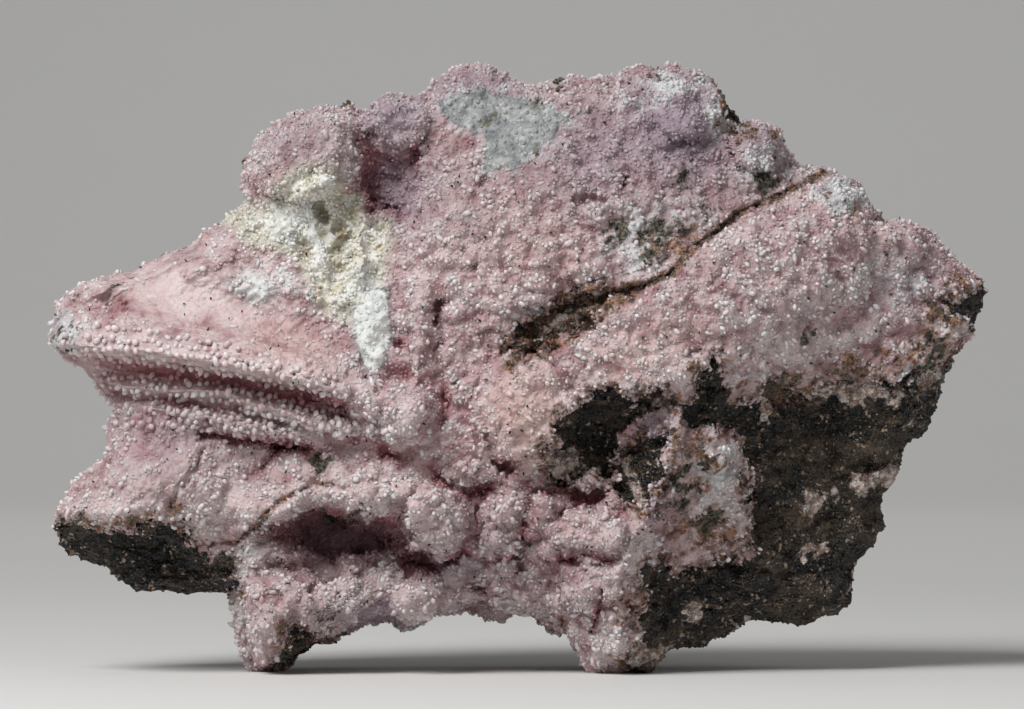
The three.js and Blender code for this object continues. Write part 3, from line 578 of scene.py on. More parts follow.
def oval_distance(x, z, middle, size, turn=0):
    angle = math.radians(turn)
    across = (x - middle[0]) * math.cos(angle) + (z - middle[1]) * math.sin(angle)
    up = (z - middle[1]) * math.cos(angle) - (x - middle[0]) * math.sin(angle)
    return np.hypot(across / size[0], up / size[1])


def line_distance(x, z, points):
    nearest = np.full(np.shape(x), np.inf)
    for (ax, az), (bx, bz) in zip(points, points[1:]):
        dx, dz = bx - ax, bz - az
        share = np.clip(((x - ax) * dx + (z - az) * dz) / (dx * dx + dz * dz), 0, 1)
        nearest = np.minimum(nearest, np.hypot(x - ax - share * dx, z - az - share * dz))
    return nearest


def edge_distance(x, z, edge):
    """Distance outside a closed outline; negative inside it."""
    inside = np.zeros(np.shape(x), bool)
    for (ax, az), (bx, bz) in zip(edge, edge[1:] + edge[:1]):
        if az != bz:
            crosses = (az > z) != (bz > z)
            inside ^= crosses & (x < (bx - ax) * (z - az) / (bz - az) + ax)
    gap = line_distance(x, z, edge + edge[:1])
    return np.where(inside, -gap, gap)


# %% [markdown]
# ## The face and the back
# The face is the sum of all forms in front of the middle plane. The back is where the rock broke
# off the wall of the vein: the nearest of a few flat fractures, so it has blunt edges. The crust
# doesn't end in a clean line, so its outlines are shifted by a small wave before they are used.

# %% Face, back and outline
FACE_RISE = 10
BACK_RISE = 24
LEAST_DEPTH = 4
ROUGHNESS = 0.55
FORM_BEND = 0.55  # how far the outlines of the fine forms are bent
CORNER_TURN = 0.025  # how far to both sides the outline's corners are averaged, in radians


def unevenness(x, y, z):
    bend = 1.3 * np.sin(0.23 * z + 0.3 * y)
    long = np.sin(0.41 * x + bend) * np.sin(0.37 * z + 0.29 * y + 1.3)
    short = np.sin(0.93 * x - 0.5 * z + 0.5) * np.sin(0.71 * y + 0.88 * z + 0.6 * np.sin(0.5 * x))
    return 0.6 * long + 0.4 * short


def bent(x, z, size):
    """Places moved about a little, so that an oval drawn at them gets an uneven edge."""
    return (x + size * (unevenness(3.1 * x, 11, 3.1 * z) + 0.4 * unevenness(8 * x, 3, 8 * z)),
            z + size * (unevenness(3.1 * x, 29, 3.1 * z) + 0.4 * unevenness(8 * x, 17, 8 * z)))


def broad_face(x, z):
    rise = sum(h * fade(oval_distance(x, z, at, size, turn)) for _, at, size, turn, h in SWELLS)
    return np.maximum(LEAST_DEPTH, FACE_RISE + rise)


def way_along(line):
    """How far along a line each of its points is."""
    return np.append(0, np.cumsum(np.hypot(*np.diff(line, axis=0).T)))


def wavy(edge, step=0.9, size=0.75):
    """A closed outline with points every step, each moved a little off the straight line."""
    line = np.array(edge + edge[:1], float)
    travelled = way_along(line)
    stops = np.arange(0, travelled[-1] - step / 2, step)
    x, z = np.interp(stops, travelled, line[:, 0]), np.interp(stops, travelled, line[:, 1])
    x, z = x + size * unevenness(5 * x, 2, 5 * z), z + size * unevenness(5 * x, 31, 5 * z)
    return list(zip(x.tolist(), z.tolist()))


def ragged(x, z):
    return 1.2 * unevenness(2.1 * x, 3, 2.1 * z) + 0.7 * unevenness(5.3 * x, 7, 5.3 * z)


def bareness(x, z, blend=0.5, steps=False):
    """1 over bare matrix and 0 under the crust, or the height of the crust's edge there."""
    shift = ragged(x, z)
    found = []
    for _, step, edge in BARE:
        outside = soft_step(edge_distance(x, z, edge) + shift, -blend, blend)
        found.append((step if steps else 1) * (1 - outside))
    return np.maximum.reduce(found)


def face(x, z):
    depth = broad_face(x, z) + ROUGHNESS * unevenness(x, 0, z)
    depth += sum(h * dome(oval_distance(x, z, at, size)) for _, at, size, h in LOBES)
    bent_x, bent_z = bent(x, z, FORM_BEND)
    depth += sum(h * fade(oval_distance(bent_x, bent_z, at, size) / 1.25)
                 for _, at, size, h in FINE_LOBES)
    for _, along, width, rise in RIDGES + FINE_RIDGES:
        depth += rise * fade(line_distance(x, z, along) / width)
    return np.maximum(LEAST_DEPTH, depth - bareness(x, z, steps=True))


def back(x, z):
    planes = [depth + by_x * x + by_z * (z - HEART[1]) for _, depth, by_x, by_z in FRACTURES]
    depth = np.minimum(BACK_RISE, np.minimum.reduce(planes))
    return np.maximum(LEAST_DEPTH, depth + 2 * ROUGHNESS * unevenness(x, BACK_RISE, z))


spokes = np.array(OUTLINE) - HEART
spoke_angles = np.arctan2(spokes[:, 1], spokes[:, 0])
spoke_order = np.argsort(spoke_angles)


def outline_radius(angle):
    """How far the outline is from the heart, with its corners rounded by a few neighbours."""
    radius = np.hypot(*spokes.T)[spoke_order]
    sides = np.linspace(-CORNER_TURN, CORNER_TURN, 7)
    return np.mean([np.interp(angle + side, spoke_angles[spoke_order], radius, period=2 * math.pi)
                    for side in sides], axis=0)


def rim_share(x, z):
    """How far out a place lies: 0 at the heart and 1 on the outline."""
    across, up = x - HEART[0], z - HEART[1]
    return np.hypot(across, up) / outline_radius(np.arctan2(up, across))


# %% [markdown]
# ## One rock out of a ball
# An ico sphere has even triangles all over, so it is a good lump of clay: half of its surface is
# spread over the face, a quarter becomes the wall round the edge, and the rest is the back. The
# spokes from the heart to the outline are evened out near the heart, or each notch in the outline
# would shear the triangles all the way to the middle.

# %% Shape the rock
SHOULDER = 0.93  # where the face turns over into the wall, as a share of the way to the outline
FACE_SHARE = 0.5
WALL_SHARE = 0.27
BALL_CUTS = 8
EVENING = math.radians(28)
ROUNDING = 0.16  # how much shallower the rock is at the shoulder than inside


def calm_radius(angle):
    """The outline's radius, averaged over the neighbouring directions."""
    sides = np.linspace(-EVENING, EVENING, 41)
    turns = np.linspace(-math.pi, math.pi, 720, endpoint=False)
    evened = np.mean([outline_radius(turns + side) for side in sides], axis=0)
    return np.interp(angle, turns, evened, period=2 * math.pi)


def rock_points(ball):
    bx, by, bz = ball.T
    angle = np.arctan2(bz, bx)
    area = (1 + by) / 2
    wall = np.clip((area - FACE_SHARE) / WALL_SHARE, 0, 1)
    crest = 0.42 + 0.16 * np.sin(3 * angle + 0.8) + 0.1 * np.sin(7 * angle)
    from_crest = np.where(wall < crest, 1 - wall / crest, (wall - crest) / (1 - crest))
    behind = np.clip((1 - area) / (1 - FACE_SHARE - WALL_SHARE), 0, 1)
    wear = 1 + 0.9 * unevenness(14 * angle, 40 * wall, 9 * angle)
    side = 1 - (1 - SHOULDER) * np.abs(from_crest) ** (1.6 * wear)
    front = SHOULDER * np.sqrt(area / FACE_SHARE)
    share = np.where(area < FACE_SHARE, front, np.where(wall < 1, side, SHOULDER * np.sqrt(behind)))
    outer = soft_step(share, 0.3, 0.9)
    radius = share * (calm_radius(angle) * (1 - outer) + outline_radius(angle) * outer)
    x = HEART[0] + radius * np.cos(angle)
    z = HEART[1] + radius * np.sin(angle)
    shallower = 1 - ROUNDING * np.minimum(1, share / SHOULDER) ** 6
    y = (wall * back(x, z) - (1 - wall) * face(x, z)) * shallower
    return np.column_stack([x, y, z])


deselect()
bpy.ops.mesh.primitive_ico_sphere_add(subdivisions=BALL_CUTS, radius=MM)
rock = bpy.context.active_object
rock.name = "gossan_matrix"
ball = points_of(rock)
ball /= np.linalg.norm(ball, axis=1)[:, None]
set_points(rock, rock_points(ball))
print("whole rock:", len(rock.data.vertices), "points")

# %% [markdown]
# ## Growth and breakage
# Smithsonite grows outwards from many seeds at once, which leaves round lumps with creases between
# them, large ones with smaller ones on their backs. The matrix doesn't grow, it breaks, so its
# cells are flat and tilted. Both are pushed out along the surface's own normals. The cream mineral
# is more knobbly than the crust. The low folds and pockets are rugged, and the face and the ribs of
# the wing are nearly smooth.

# %% Lumps and facets
# name, middle (x, z), half sizes, turn in degrees, strength
SMOOTH_SKIN = [
    ("wing face", (-43, 46.6), (14, 5), -14, 1.7),
    ("wing top", (-45, 51.5), (11, 3), 25, 1.3),
    ("ribs", (-42, 38.5), (18, 6.6), -8, 2),
    ("wing middle", (-30, 42.5), (9, 4), -20, 0.9),
    ("cap", (-1.5, 68.5), (7.5, 4.8), 0, 0.9),
    ("wing lip", (-52, 49), (5, 2), 20, 0.8),
    ("block", (-47, 26), (9, 5), 10, 0.65),
    ("mauve facet", (-42.4, 26.5), (3, 3.4), 0, 0.9),
    ("wing tip", (-57.5, 43), (3, 3), 0, 0.7),
    ("salmon bulge", (0.8, 33), (6, 7), 0, 0.5),
    ("cheek", (14, 42), (7, 3), 30, 0.5),
    ("drip", (-18.6, 44.5), (3, 6), 0, 0.9),
    ("cream face", (-29.5, 57), (3.6, 3.2), 0, 0.8),
    ("cream blades", (-24.6, 55), (1.4, 4), 18, 0.6),
    ("foot", (-32.8, 2.5), (2.5, 3), 0, 0.6),
    ("blade", (19.5, 33), (3, 5), 0, 0.45),
    ("strip", (15, 16), (3, 4), 0, 0.3),
]
RUGGED_SKIN = [
    ("low middle", (0, 17), (13, 9), 0, 1),
    ("cavity", (-21, 16), (11, 6), 0, 0.9),
    ("ledge", (-20, 22.5), (12, 2.6), 0, 0.7),
    ("left foot", (-26, 9), (9, 5), 0, 0.7),
    ("recess", (-15.5, 62), (5, 7), 0, 0.9),
    ("spine", (-10, 38), (4, 10), 0, 0.6),
    ("hem", (-6, 9), (12, 3), 0, 0.8),
    ("lobe", (24, 24.5), (4.5, 8), 0, 0.9),
    ("band", (42, 40.5), (11, 3.4), -10, 0.6),
    ("upper right", (20, 64), (9, 7), 0, 0.4),
]
# size of a lump and its height
CRUST_LUMPS = [(9, 0.9), (4.6, 0.8), (2.4, 0.8), (1.3, 0.6)]
RUGGED_LUMPS = [(3.8, 1.7), (1.9, 0.7)]
CREAM_LUMPS = [(2.4, 0.9), (1.2, 0.6)]
ROCK_FACETS = [(10, 1.8), (3.8, 1.2), (1.4, 0.55)]
CREST_LUMPS = [(4.6, 0.2), (2.4, 0.4), (1.3, 0.4)]  # size of a lump and its share in the crests
STIR = 0.55
STIR_SIZE = 1.6
STIR_SEED = 38
ROCK_LAYERS = (1, 1, 1.7)  # the facets are this much lower than wide, as the rock is layered
RUGGED_SINK = 1.4  # large lumps only add height, so rugged skin starts this much lower
SMOOTH_SHARE = 0.85  # how much of the lumps is gone where the skin is smooth
SMOOTH_LEVEL = 0.8
SPREAD_BEND = 1.3  # how far the outlines of the ovals in a list are bent
CRUST_WRAP = 4
WRAP_WAVE = 1.4
GRAIN_ROOM = 1.6  # the skin lies this far inside, because the grains on it reach out further
MATRIX_SINK = 0.3
MATRIX_RANGE = (-2.2, 0.8)  # how far the matrix may go in and out
MATRIX_BEHIND = 1.1  # and how much it draws back behind the crust's edge
BREAKAGE_RIM = (0.84, 0.97)  # shares of the way to the outline, as in rim_share


# Blender seeds its noise vectors with the time of day, so every run would stir in its own way
noise.seed_set(STIR_SEED)


def lumps(points, size):
    """Round growths of one size: 1 on top of each and 0 in the creases between them."""
    nearest = np.array([noise.voronoi(Vector(p))[0][0] for p in points / size])
    return 1 - np.clip(nearest / 0.85, 0, 1) ** 2


def stirred(points):
    """The points moved about a little, so that what is drawn at them looks less regular."""
    moves = [tuple(noise.noise_vector(Vector(p))) for p in points / STIR_SIZE]
    return points + STIR * np.array(moves)


def growth_at(points):
    """How far the crust has grown out over each place, in millimetres."""
    moved = stirred(points)
    growth = sum(height * lumps(moved, size) for size, height in CRUST_LUMPS)
    creamy = 1 - soft_step(edge_distance(points[:, 0], points[:, 2], CREAM_EDGE), -0.4, 0.4)
    knobs = sum(height * lumps(moved, size) for size, height in CREAM_LUMPS)
    rugged = np.minimum(1, spread(RUGGED_SKIN, points[:, 0], points[:, 2]))
    folds = sum(height * lumps(moved, size) for size, height in RUGGED_LUMPS)
    growth += rugged * (folds - RUGGED_SINK)
    smooth = np.minimum(1, spread(SMOOTH_SKIN, points[:, 0], points[:, 2]))
    mixed = growth + (knobs - growth) * creamy
    return mixed * (1 - SMOOTH_SHARE * smooth) + SMOOTH_LEVEL * smooth


def crests_at(points):
    """1 on top of the small lumps of the crust and 0 in the creases between them."""
    moved = stirred(points)
    return sum(share * lumps(moved, size) for size, share in CREST_LUMPS)


def facets(points, size):
    """Flat broken cells of one size, each tilted its own way, from -1 to 1."""
    found = np.array([tuple(noise.voronoi(Vector(p))[1][0]) for p in points / size])
    tilt = np.array([tuple(noise.cell_vector(Vector(p) * 7.3)) for p in found])
    across = (points / size - found) * (tilt * 2 - 1)
    return np.clip(across.sum(axis=1) + (tilt[:, 0] - 0.5) * 0.6, -1, 1)


def spread(rows, x, z, wider=1.3):
    """The strongest of a list of ovals at each place, each fading out at an uneven edge."""
    bent_x, bent_z = bent(x, z, SPREAD_BEND)
    return np.maximum.reduce([strength * fade(oval_distance(bent_x, bent_z, at, size, turn) / wider)
                              for _, at, size, turn, strength in rows])


def wrap_at(x, z):
    """How far back the crust reaches round the sides."""
    return CRUST_WRAP - WRAP_WAVE * unevenness(1.7 * x, 5, 1.7 * z)


def crustiness(points):
    """1 where the pink crust covers the rock and 0 on bare matrix."""
    x, y, z = points.T
    wrapped = 1 - soft_step(y - wrap_at(x, z), -0.6, 0.6)
    return wrapped * (1 - bareness(x, z))


points = points_of(rock)
normals = vectors_of(rock, "normal")
x, y, z = points.T
crusty = crustiness(points)
growth = growth_at(points)
breakage = sum(height * facets(points * ROCK_LAYERS, size) for size, height in ROCK_FACETS)
at_rim = soft_step(rim_share(x, z), *BREAKAGE_RIM)
breakage *= 1 - 0.5 * at_rim  # or the edge of the matrix would be a row of teeth
behind = soft_step(y, 2, 6)
pushed = crusty * (growth - GRAIN_ROOM)
broken = np.clip(breakage - MATRIX_SINK, *MATRIX_RANGE) - MATRIX_BEHIND * behind
pushed += (1 - crusty) * broken
points += normals * pushed[:, None]
points[:, 2] = np.maximum(points[:, 2], 0)
set_points(rock, points)
print("lumps up to %.2f mm and facets up to %.2f mm" % (growth.max(), breakage.max()))

# %% [markdown]
# ## Hollows and crests
# Light that gets into a hollow of the crust comes out deep pink, and crests look pale. Both are
# painted: hollows get deep pink painted shade and crests get painted light. A map of the face shows
# both: it is compared with a blurred copy of itself, and what lies deeper than the blurred face
# is a hollow.

# %% Map the hollows
MAP_CELL = 0.4
MAP_REACH = 1.8  # how far the copy is blurred
map_x = np.arange(-66, 66, MAP_CELL)
map_z = np.arange(-6, 82, MAP_CELL)
map_face = face(*np.meshgrid(map_x, map_z))


def blurred(values, reach):
    steps = np.arange(-round(3 * reach / MAP_CELL), round(3 * reach / MAP_CELL) + 1) * MAP_CELL
    bell = np.exp(-0.5 * (steps / reach) ** 2)
    bell /= bell.sum()
    for axis in (0, 1):
        values = np.apply_along_axis(lambda row: np.convolve(np.pad(row, len(bell) // 2, "edge"),
                                                             bell, "valid"), axis, values)
    return values


map_depth = blurred(map_face, MAP_REACH) - map_face


def depth_at(x, z):
    """How deep a place lies in a hollow, in millimetres, or how high on a crest if negative."""
    column = np.clip((x - map_x[0]) / MAP_CELL, 0, len(map_x) - 1.01)
    row = np.clip((z - map_z[0]) / MAP_CELL, 0, len(map_z) - 1.01)
    c, r = column.astype(int), row.astype(int)
    right, up = column - c, row - r
    low = map_depth[r, c] * (1 - right) + map_depth[r, c + 1] * right
    high = map_depth[r + 1, c] * (1 - right) + map_depth[r + 1, c + 1] * right
    return low * (1 - up) + high * up


print("hollows up to %.1f mm deep" % map_depth.max())

# %% [markdown]
# ## Tints as attributes
# Each point of each mesh stores how strongly every tint acts there. The materials read these
# numbers, so the same few lists colour the skin, the grains on it and the matrix. The spots belong
# to the face and fade out round the sides. Rust and dark also gather in the cracks, along the
# borders of bare rock and near the crust's own edge, where they break up its straight border.

# %% Work out and store the tints
TINT_WIDENING = 1.45
FACE_ENDS = (2, 8)  # the depths between which the spots of the face fade out
HOLLOW_RIM = (0.84, 0.95)
# tint, strength, and how far from the crust's edge it goes, negative towards the front
EDGE_PATCHES = [("dark", 0.9, -5), ("rust", 0.9, -6), ("islands", 0.9, 8)]
LINES = {name: along for name, along, _, _ in RIDGES + FINE_RIDGES}
CREAM_WAVY, CAP_WAVY, DRIP_WAVY = wavy(CREAM_EDGE), wavy(CAP_EDGE), wavy(DRIP_EDGE, size=0.4)


def tints_at(points):
    """Every tint's strength at each place."""
    x, y, z = points.T
    front = 1 - soft_step(y, *FACE_ENDS)
    found = {kind: spread(rows, x, z, TINT_WIDENING) * front for kind, rows in SPOTS.items()}
    depth = depth_at(x, z) * front
    in_seam = fade(line_distance(x, z, LINES["seam"]) / 1.1)
    in_ledge = fade(line_distance(x, z, LINES["ledge crack"]) / 0.9)
    near_crack = np.maximum(in_seam, 0.8 * in_ledge) * front
    gap = np.minimum.reduce([edge_distance(x, z, edge) for _, _, edge in BARE]) + ragged(x, z)
    shore = np.where(gap > 0, fade(gap / 2.6), 0) * front
    found["dark"] = np.maximum.reduce([found["dark"], 0.7 * near_crack, 0.6 * shore])
    found["rust"] = np.maximum.reduce([found["rust"], near_crack, 0.75 * shore])
    lining = 0.6 * fade(line_distance(x, z, LINING) / 1.9) * front
    found["islands"] = np.maximum(found["islands"], lining)
    # painted shade: places lying below the blurred face get the deep pink hollow tint
    deep = soft_step(depth, 0.25, 1.6) * (1 - 0.8 * soft_step(rim_share(x, z), *HOLLOW_RIM))
    behind = y - wrap_at(x, z)
    for kind, strength, reach in EDGE_PATCHES:
        near_edge = np.where(behind * reach > 0, fade(behind / reach), 0) * soft_step(y, -2, 2)
        patchy = soft_step(unevenness(0.9 * x + reach, 0.9 * y, 0.9 * z), -0.1, 0.6)
        found[kind] = np.maximum(found[kind], strength * near_edge * patchy)
    # the hollow tint is painted shade, from the deep places and the crimson spots
    found["hollow"] = np.maximum(deep, found.pop("crimson") * 0.75)
    # painted light: places standing above the blurred face get paler
    found["pale"] = np.maximum(found["pale"], 0.6 * soft_step(-depth, 0.2, 1.3))
    icy = np.minimum(edge_distance(x, z, CAP_WAVY), edge_distance(x, z, DRIP_WAVY))
    found["frost"] = np.maximum(found["frost"], 0.45 * fade(np.maximum(icy, 0) / 2.4) * front)
    found["cream"] = 0.85 * fade(np.maximum(edge_distance(x, z, CREAM_WAVY), 0) / 2) * front
    found["crest"] = crests_at(points)
    return found


def store(piece, name, values):
    layer = piece.data.attributes.new(name, "FLOAT", "POINT")
    layer.data.foreach_set("value", values.astype(np.float32))


def store_tints(piece):
    for name, values in tints_at(points_of(piece)).items():
        store(piece, name, values)


# %% [markdown]
# ## Divide the minerals
# A block whose back face follows the underside of the crust is laid over the rock. What lies
# inside the block is crust, and what lies outside is matrix. The cream patch, the cap and the drip
# are divided from the crust in the same way, each inside its own outline. The block starts as a
# fine grid, and Decimate keeps its small faces only where the underside bends.

# %% Blocks to cut with
CRUST_DEPTH = 7
CRUST_RIM = (0.8, 0.96)  # between these the underside runs back to the crust's edge on the side
BARE_DROP = 4
BARE_BLEND = 1
UNDERSIDE_CELL = 0.8
UNDERSIDE_KEPT = 0.16
PATCH_CELL = 2.5
# name, outline, depth below the broad face
PATCHES = [("cream_smithsonite", CREAM_WAVY, 4), ("blue_white_druse", CAP_WAVY, 2.4),
           ("frosty_drip", DRIP_WAVY, 4)]
BLOCK_SIZE = (136, 96)
BLOCK_MIDDLE = 38
BLOCK_FRONT = -60


def crust_floor(x, z):
    covered = CRUST_DEPTH - broad_face(x, z)
    covered += (wrap_at(x, z) - covered) * soft_step(rim_share(x, z), *CRUST_RIM)
    return covered + (-face(x, z) - BARE_DROP - covered) * bareness(x, z, BARE_BLEND)


def facing_out(piece):
    only(piece)
    bpy.ops.object.mode_set(mode="EDIT")
    bpy.ops.mesh.select_all(action="SELECT")
    bpy.ops.mesh.normals_make_consistent(inside=False)
    bpy.ops.object.mode_set(mode="OBJECT")


def block_over(floor, cell, kept=1):
    """A block that reaches from far in front of the face back to a floor surface."""
    deselect()
    bpy.ops.mesh.primitive_grid_add(x_subdivisions=round(BLOCK_SIZE[0] / cell),
                                    y_subdivisions=round(BLOCK_SIZE[1] / cell), size=MM)
    block = bpy.context.active_object
    bpy.ops.object.mode_set(mode="EDIT")
    bpy.ops.mesh.extrude_region_move(TRANSFORM_OT_translate={"value": (0, 0, MM)})
    bpy.ops.object.mode_set(mode="OBJECT")
    shape = points_of(block)
    x, z = shape[:, 0] * BLOCK_SIZE[0], shape[:, 1] * BLOCK_SIZE[1] + BLOCK_MIDDLE
    is_front = shape[:, 2] > 0.5
    set_points(block, np.column_stack([x, np.where(is_front, BLOCK_FRONT, floor(x, z)), z]))
    facing_out(block)
    if kept < 1:
        thinning = block.modifiers.new("thin", "DECIMATE")
        thinning.ratio = kept
        bpy.ops.object.modifier_apply(modifier=thinning.name)
    return block


def prism_over(edge):
    """A patch's outline, as a prism from far in front of the face to the middle plane."""
    deselect()
    bpy.ops.mesh.primitive_circle_add(vertices=len(edge), fill_type="NGON", radius=MM)
    prism = bpy.context.active_object
    set_points(prism, np.array([(px, 0, pz) for px, pz in edge]))
    bpy.ops.object.mode_set(mode="EDIT")
    bpy.ops.mesh.select_all(action="SELECT")
    bpy.ops.mesh.extrude_region_move(TRANSFORM_OT_translate={"value": (0, BLOCK_FRONT * MM, 0)})
    bpy.ops.object.mode_set(mode="OBJECT")
    facing_out(prism)
    return prism


# %% Cut the rock
def cut(piece, cutter, operation):
    only(piece)
    cutting = piece.modifiers.new("cut", "BOOLEAN")
    cutting.operation = operation
    cutting.solver = "MANIFOLD"
    cutting.object = cutter
    bpy.ops.object.modifier_apply(modifier=cutting.name)


def twin(piece, name):
    copy = piece.copy()
    copy.data = piece.data.copy()
    copy.name = name
    bpy.context.collection.objects.link(copy)
    return copy


def throw_away(*pieces):
    for piece in pieces:
        bpy.data.objects.remove(piece, do_unlink=True)


facing_out(rock)
whole = twin(rock, "whole_rock")
under_crust = block_over(crust_floor, UNDERSIDE_CELL, kept=UNDERSIDE_KEPT)
crust = twin(rock, "pink_druse_skin")
cut(crust, under_crust, "INTERSECT")
cut(rock, under_crust, "DIFFERENCE")
patches = []
for name, edge, depth in PATCHES:
    room = prism_over(edge)
    under_patch = block_over(lambda x, z: depth - broad_face(x, z), PATCH_CELL)
    cut(room, under_patch, "INTERSECT")
    patch = twin(crust, name)
    cut(patch, room, "INTERSECT")
    cut(crust, room, "DIFFERENCE")
    throw_away(room, under_patch)
    patches.append(patch)
throw_away(under_crust)
cream, cap, drip = patches
for piece in (rock, crust, *patches):
    store_tints(piece)
    print(piece.name, len(piece.data.polygons), "faces")

# %% [markdown]
# ## Finishes
# Every finish starts from one colour and takes on one tint after another. A tint that creeps over
# the mineral in blotches, such as rust, is mixed with a noise pattern before it is used, so its
# edge is broken up. All patterns read object coordinates, because each piece's object sits at the
# origin and its place is in its mesh.

# %% A small recipe book for node materials


def srgb(red, green, blue):
    """A colour given as 0 to 255 screen values, in the linear values that shaders use."""
    linear = [c / 255 / 12.92 if c < 10 else ((c / 255 + 0.055) / 1.055) ** 2.4
              for c in (red, green, blue)]
    return (*linear, 1)


class Finish:
    """A material that is built up one step at a time."""

    def __init__(self, name, **sockets):
        self.material = bpy.data.materials.new(name)
        self.material.use_nodes = True
        self.tree = self.material.node_tree
        self.shader = self.tree.nodes["Principled BSDF"]
        for socket, value in sockets.items():
            self.shader.inputs[socket.replace("_", " ")].default_value = value
        self.place = self.node("ShaderNodeTexCoord").outputs["Object"]

    def node(self, kind, inputs=(), **settings):
        made = self.tree.nodes.new(kind)
        for name, value in settings.items():
            setattr(made, name, value)
        for name, value in dict(inputs).items():
            if isinstance(value, bpy.types.NodeSocket):
                self.tree.links.new(value, made.inputs[name])
            else:
                made.inputs[name].default_value = value
        return made

    def mask(self, name):
        return self.node("ShaderNodeAttribute", attribute_name=name).outputs["Fac"]

    def noise(self, size, detail=3, roughness=0.6, layers=1):
        """A cloudy pattern; layers above 1 squeeze it into flat layers."""
        place = self.place
        if layers > 1:
            place = self.node("ShaderNodeVectorMath", {0: place, 1: (1, 1, layers)},
                              operation="MULTIPLY").outputs[0]
        inputs = {"Vector": place, "Scale": 1 / (size * MM), "Detail": detail,
                  "Roughness": roughness}
        return self.node("ShaderNodeTexNoise", inputs).outputs["Fac"]

    def cells(self, size, output="Color"):
        inputs = {"Vector": self.place, "Scale": 1 / (size * MM)}
        return self.node("ShaderNodeTexVoronoi", inputs).outputs[output]

    def maths(self, operation, first, second):
        made = self.node("ShaderNodeMath", {0: first, 1: second}, operation=operation)
        return made.outputs[0]

    def scaled(self, value, amount):
        return self.maths("MULTIPLY", value, amount)

    def ramp(self, value, low, high, start=0, end=1):
        """Turns a value between low and high into one between start and end."""
        inputs = {"Value": value, "From Min": low, "From Max": high, "To Min": start, "To Max": end}
        return self.node("ShaderNodeMapRange", inputs, interpolation_type="SMOOTHSTEP").outputs[0]

    def blotchy(self, mask, size, width, reach=1.1):
        """A mask whose edge is broken into blotches of one size."""
        grown = self.maths("ADD", self.scaled(mask, reach), self.noise(size, 4, 0.7))
        return self.ramp(grown, 1 - width, 1 + width)

    def mix(self, amount, first, second):
        inputs = {0: amount, 6: first, 7: second}
        return self.node("ShaderNodeMix", inputs, data_type="RGBA").outputs[2]

    def graded(self, value, low, high, first, second, amount=1):
        """One colour that turns into another where a value rises from low to high."""
        return self.mix(self.ramp(value, low, high, 0, amount), first, second)

    def bump(self, height, depth):
        inputs = {"Height": height, "Distance": depth * MM, "Strength": 1}
        self.tree.links.new(self.node("ShaderNodeBump", inputs).outputs[0],
                            self.shader.inputs["Normal"])

    def use(self, socket, value):
        self.tree.links.new(value, self.shader.inputs[socket])
        return self


# %% [markdown]
# ### Pink druse
# The skin and the grains on it are the same mineral and share one recipe. The skin is painted
# deeper pink, as painted shade of the grains, and darker still in its creases. Grains are painted
# paler on crests and at their tips, as painted light; each has a shade of its own, and the large
# ones are nearly white. The recipe also lays on the painted shade of the hollows and pockets.

# %% Skin and grains of the pink druse
def druse(finish, colour, light, hollow):
    """Lays the tints of the pink mineral and the painted shade over its first colour: light is its
    palest shade, and hollow is the colour of the painted shade in hollows and pockets.
    """
    colour = finish.graded(finish.noise(3.4), 0.5, 0.68, colour, srgb(184, 140, 143), 0.4)
    colour = finish.graded(finish.noise(2.3, 4), 0.5, 0.66, colour, light, 0.45)
    # salmon, cream and whiteness are the mineral's own colours, and pale partly so, with painted
    # light on crests; the top-and-lower darkening and the pocket darkening are painted shade,
    # hollow is deep pink painted shade, and mauve is partly painted shade
    for tint, amount, shade in (("salmon", 0.75, srgb(204, 172, 164)),
                                ("pale", 0.75, light),
                                ("cream", 1, srgb(206, 202, 186)),
                                ("whiteness", 1, srgb(216, 217, 216)),
                                ("painted_shade", 0.6, srgb(146, 126, 128)),
                                ("hollow", 0.85, hollow),
                                ("mauve", 0.75, srgb(138, 124, 138)),
                                ("painted_pocket_shade", 0.8, srgb(72, 50, 58))):
        colour = finish.mix(finish.scaled(finish.mask(tint), amount), colour, shade)
    # painted shade and light: the frosty crust is darker in the creases and paler on the crests
    frost = finish.graded(finish.mask("crest"), 0.25, 0.8, srgb(156, 146, 149),
                          srgb(204, 201, 202))
    colour = finish.mix(finish.blotchy(finish.mask("frost"), 1.6, 0.3), colour, frost)
    rust = finish.graded(finish.noise(0.8, 4), 0.4, 0.6, srgb(62, 44, 34), srgb(152, 110, 82))
    rusted = finish.maths("MULTIPLY", finish.blotchy(finish.mask("rust"), 1.4, 0.2, 0.95),
                          finish.ramp(finish.noise(1.7, 5, 0.65), 0.4, 0.56))
    colour = finish.mix(rusted, colour, rust)
    dark = finish.graded(finish.noise(0.4), 0.4, 0.65, srgb(22, 24, 25), srgb(104, 96, 76))
    colour = finish.mix(finish.blotchy(finish.mask("dark"), 1.1, 0.14, 0.85), colour, dark)
    return finish.use("Base Color", colour)


skin = Finish("pink druse skin", Roughness=0.5, Subsurface_Weight=0.5, Subsurface_Scale=1.1 * MM,
              Subsurface_Radius=(1, 0.6, 0.6))
# painted shade and light: the skin is darker pink in the creases between the small lumps and paler
# on their tops
tone = skin.maths("ADD", skin.scaled(skin.mask("crest"), 0.8), skin.scaled(skin.noise(1.4, 4), 0.4))
skin_colour = skin.graded(tone, 0.35, 0.95, srgb(144, 102, 106), srgb(200, 180, 180))
druse(skin, skin_colour, srgb(220, 205, 203), srgb(138, 70, 76))
pits = skin.scaled(skin.cells(0.7, "Distance"), -1)
skin.bump(skin.maths("ADD", skin.noise(0.5, 4), pits), 0.3)

grains = Finish("pink druse grains", Roughness=0.5, Specular_IOR_Level=0.25, Subsurface_Weight=0.8,
                Subsurface_Scale=1.1 * MM, Subsurface_Radius=(1, 0.7, 0.7))
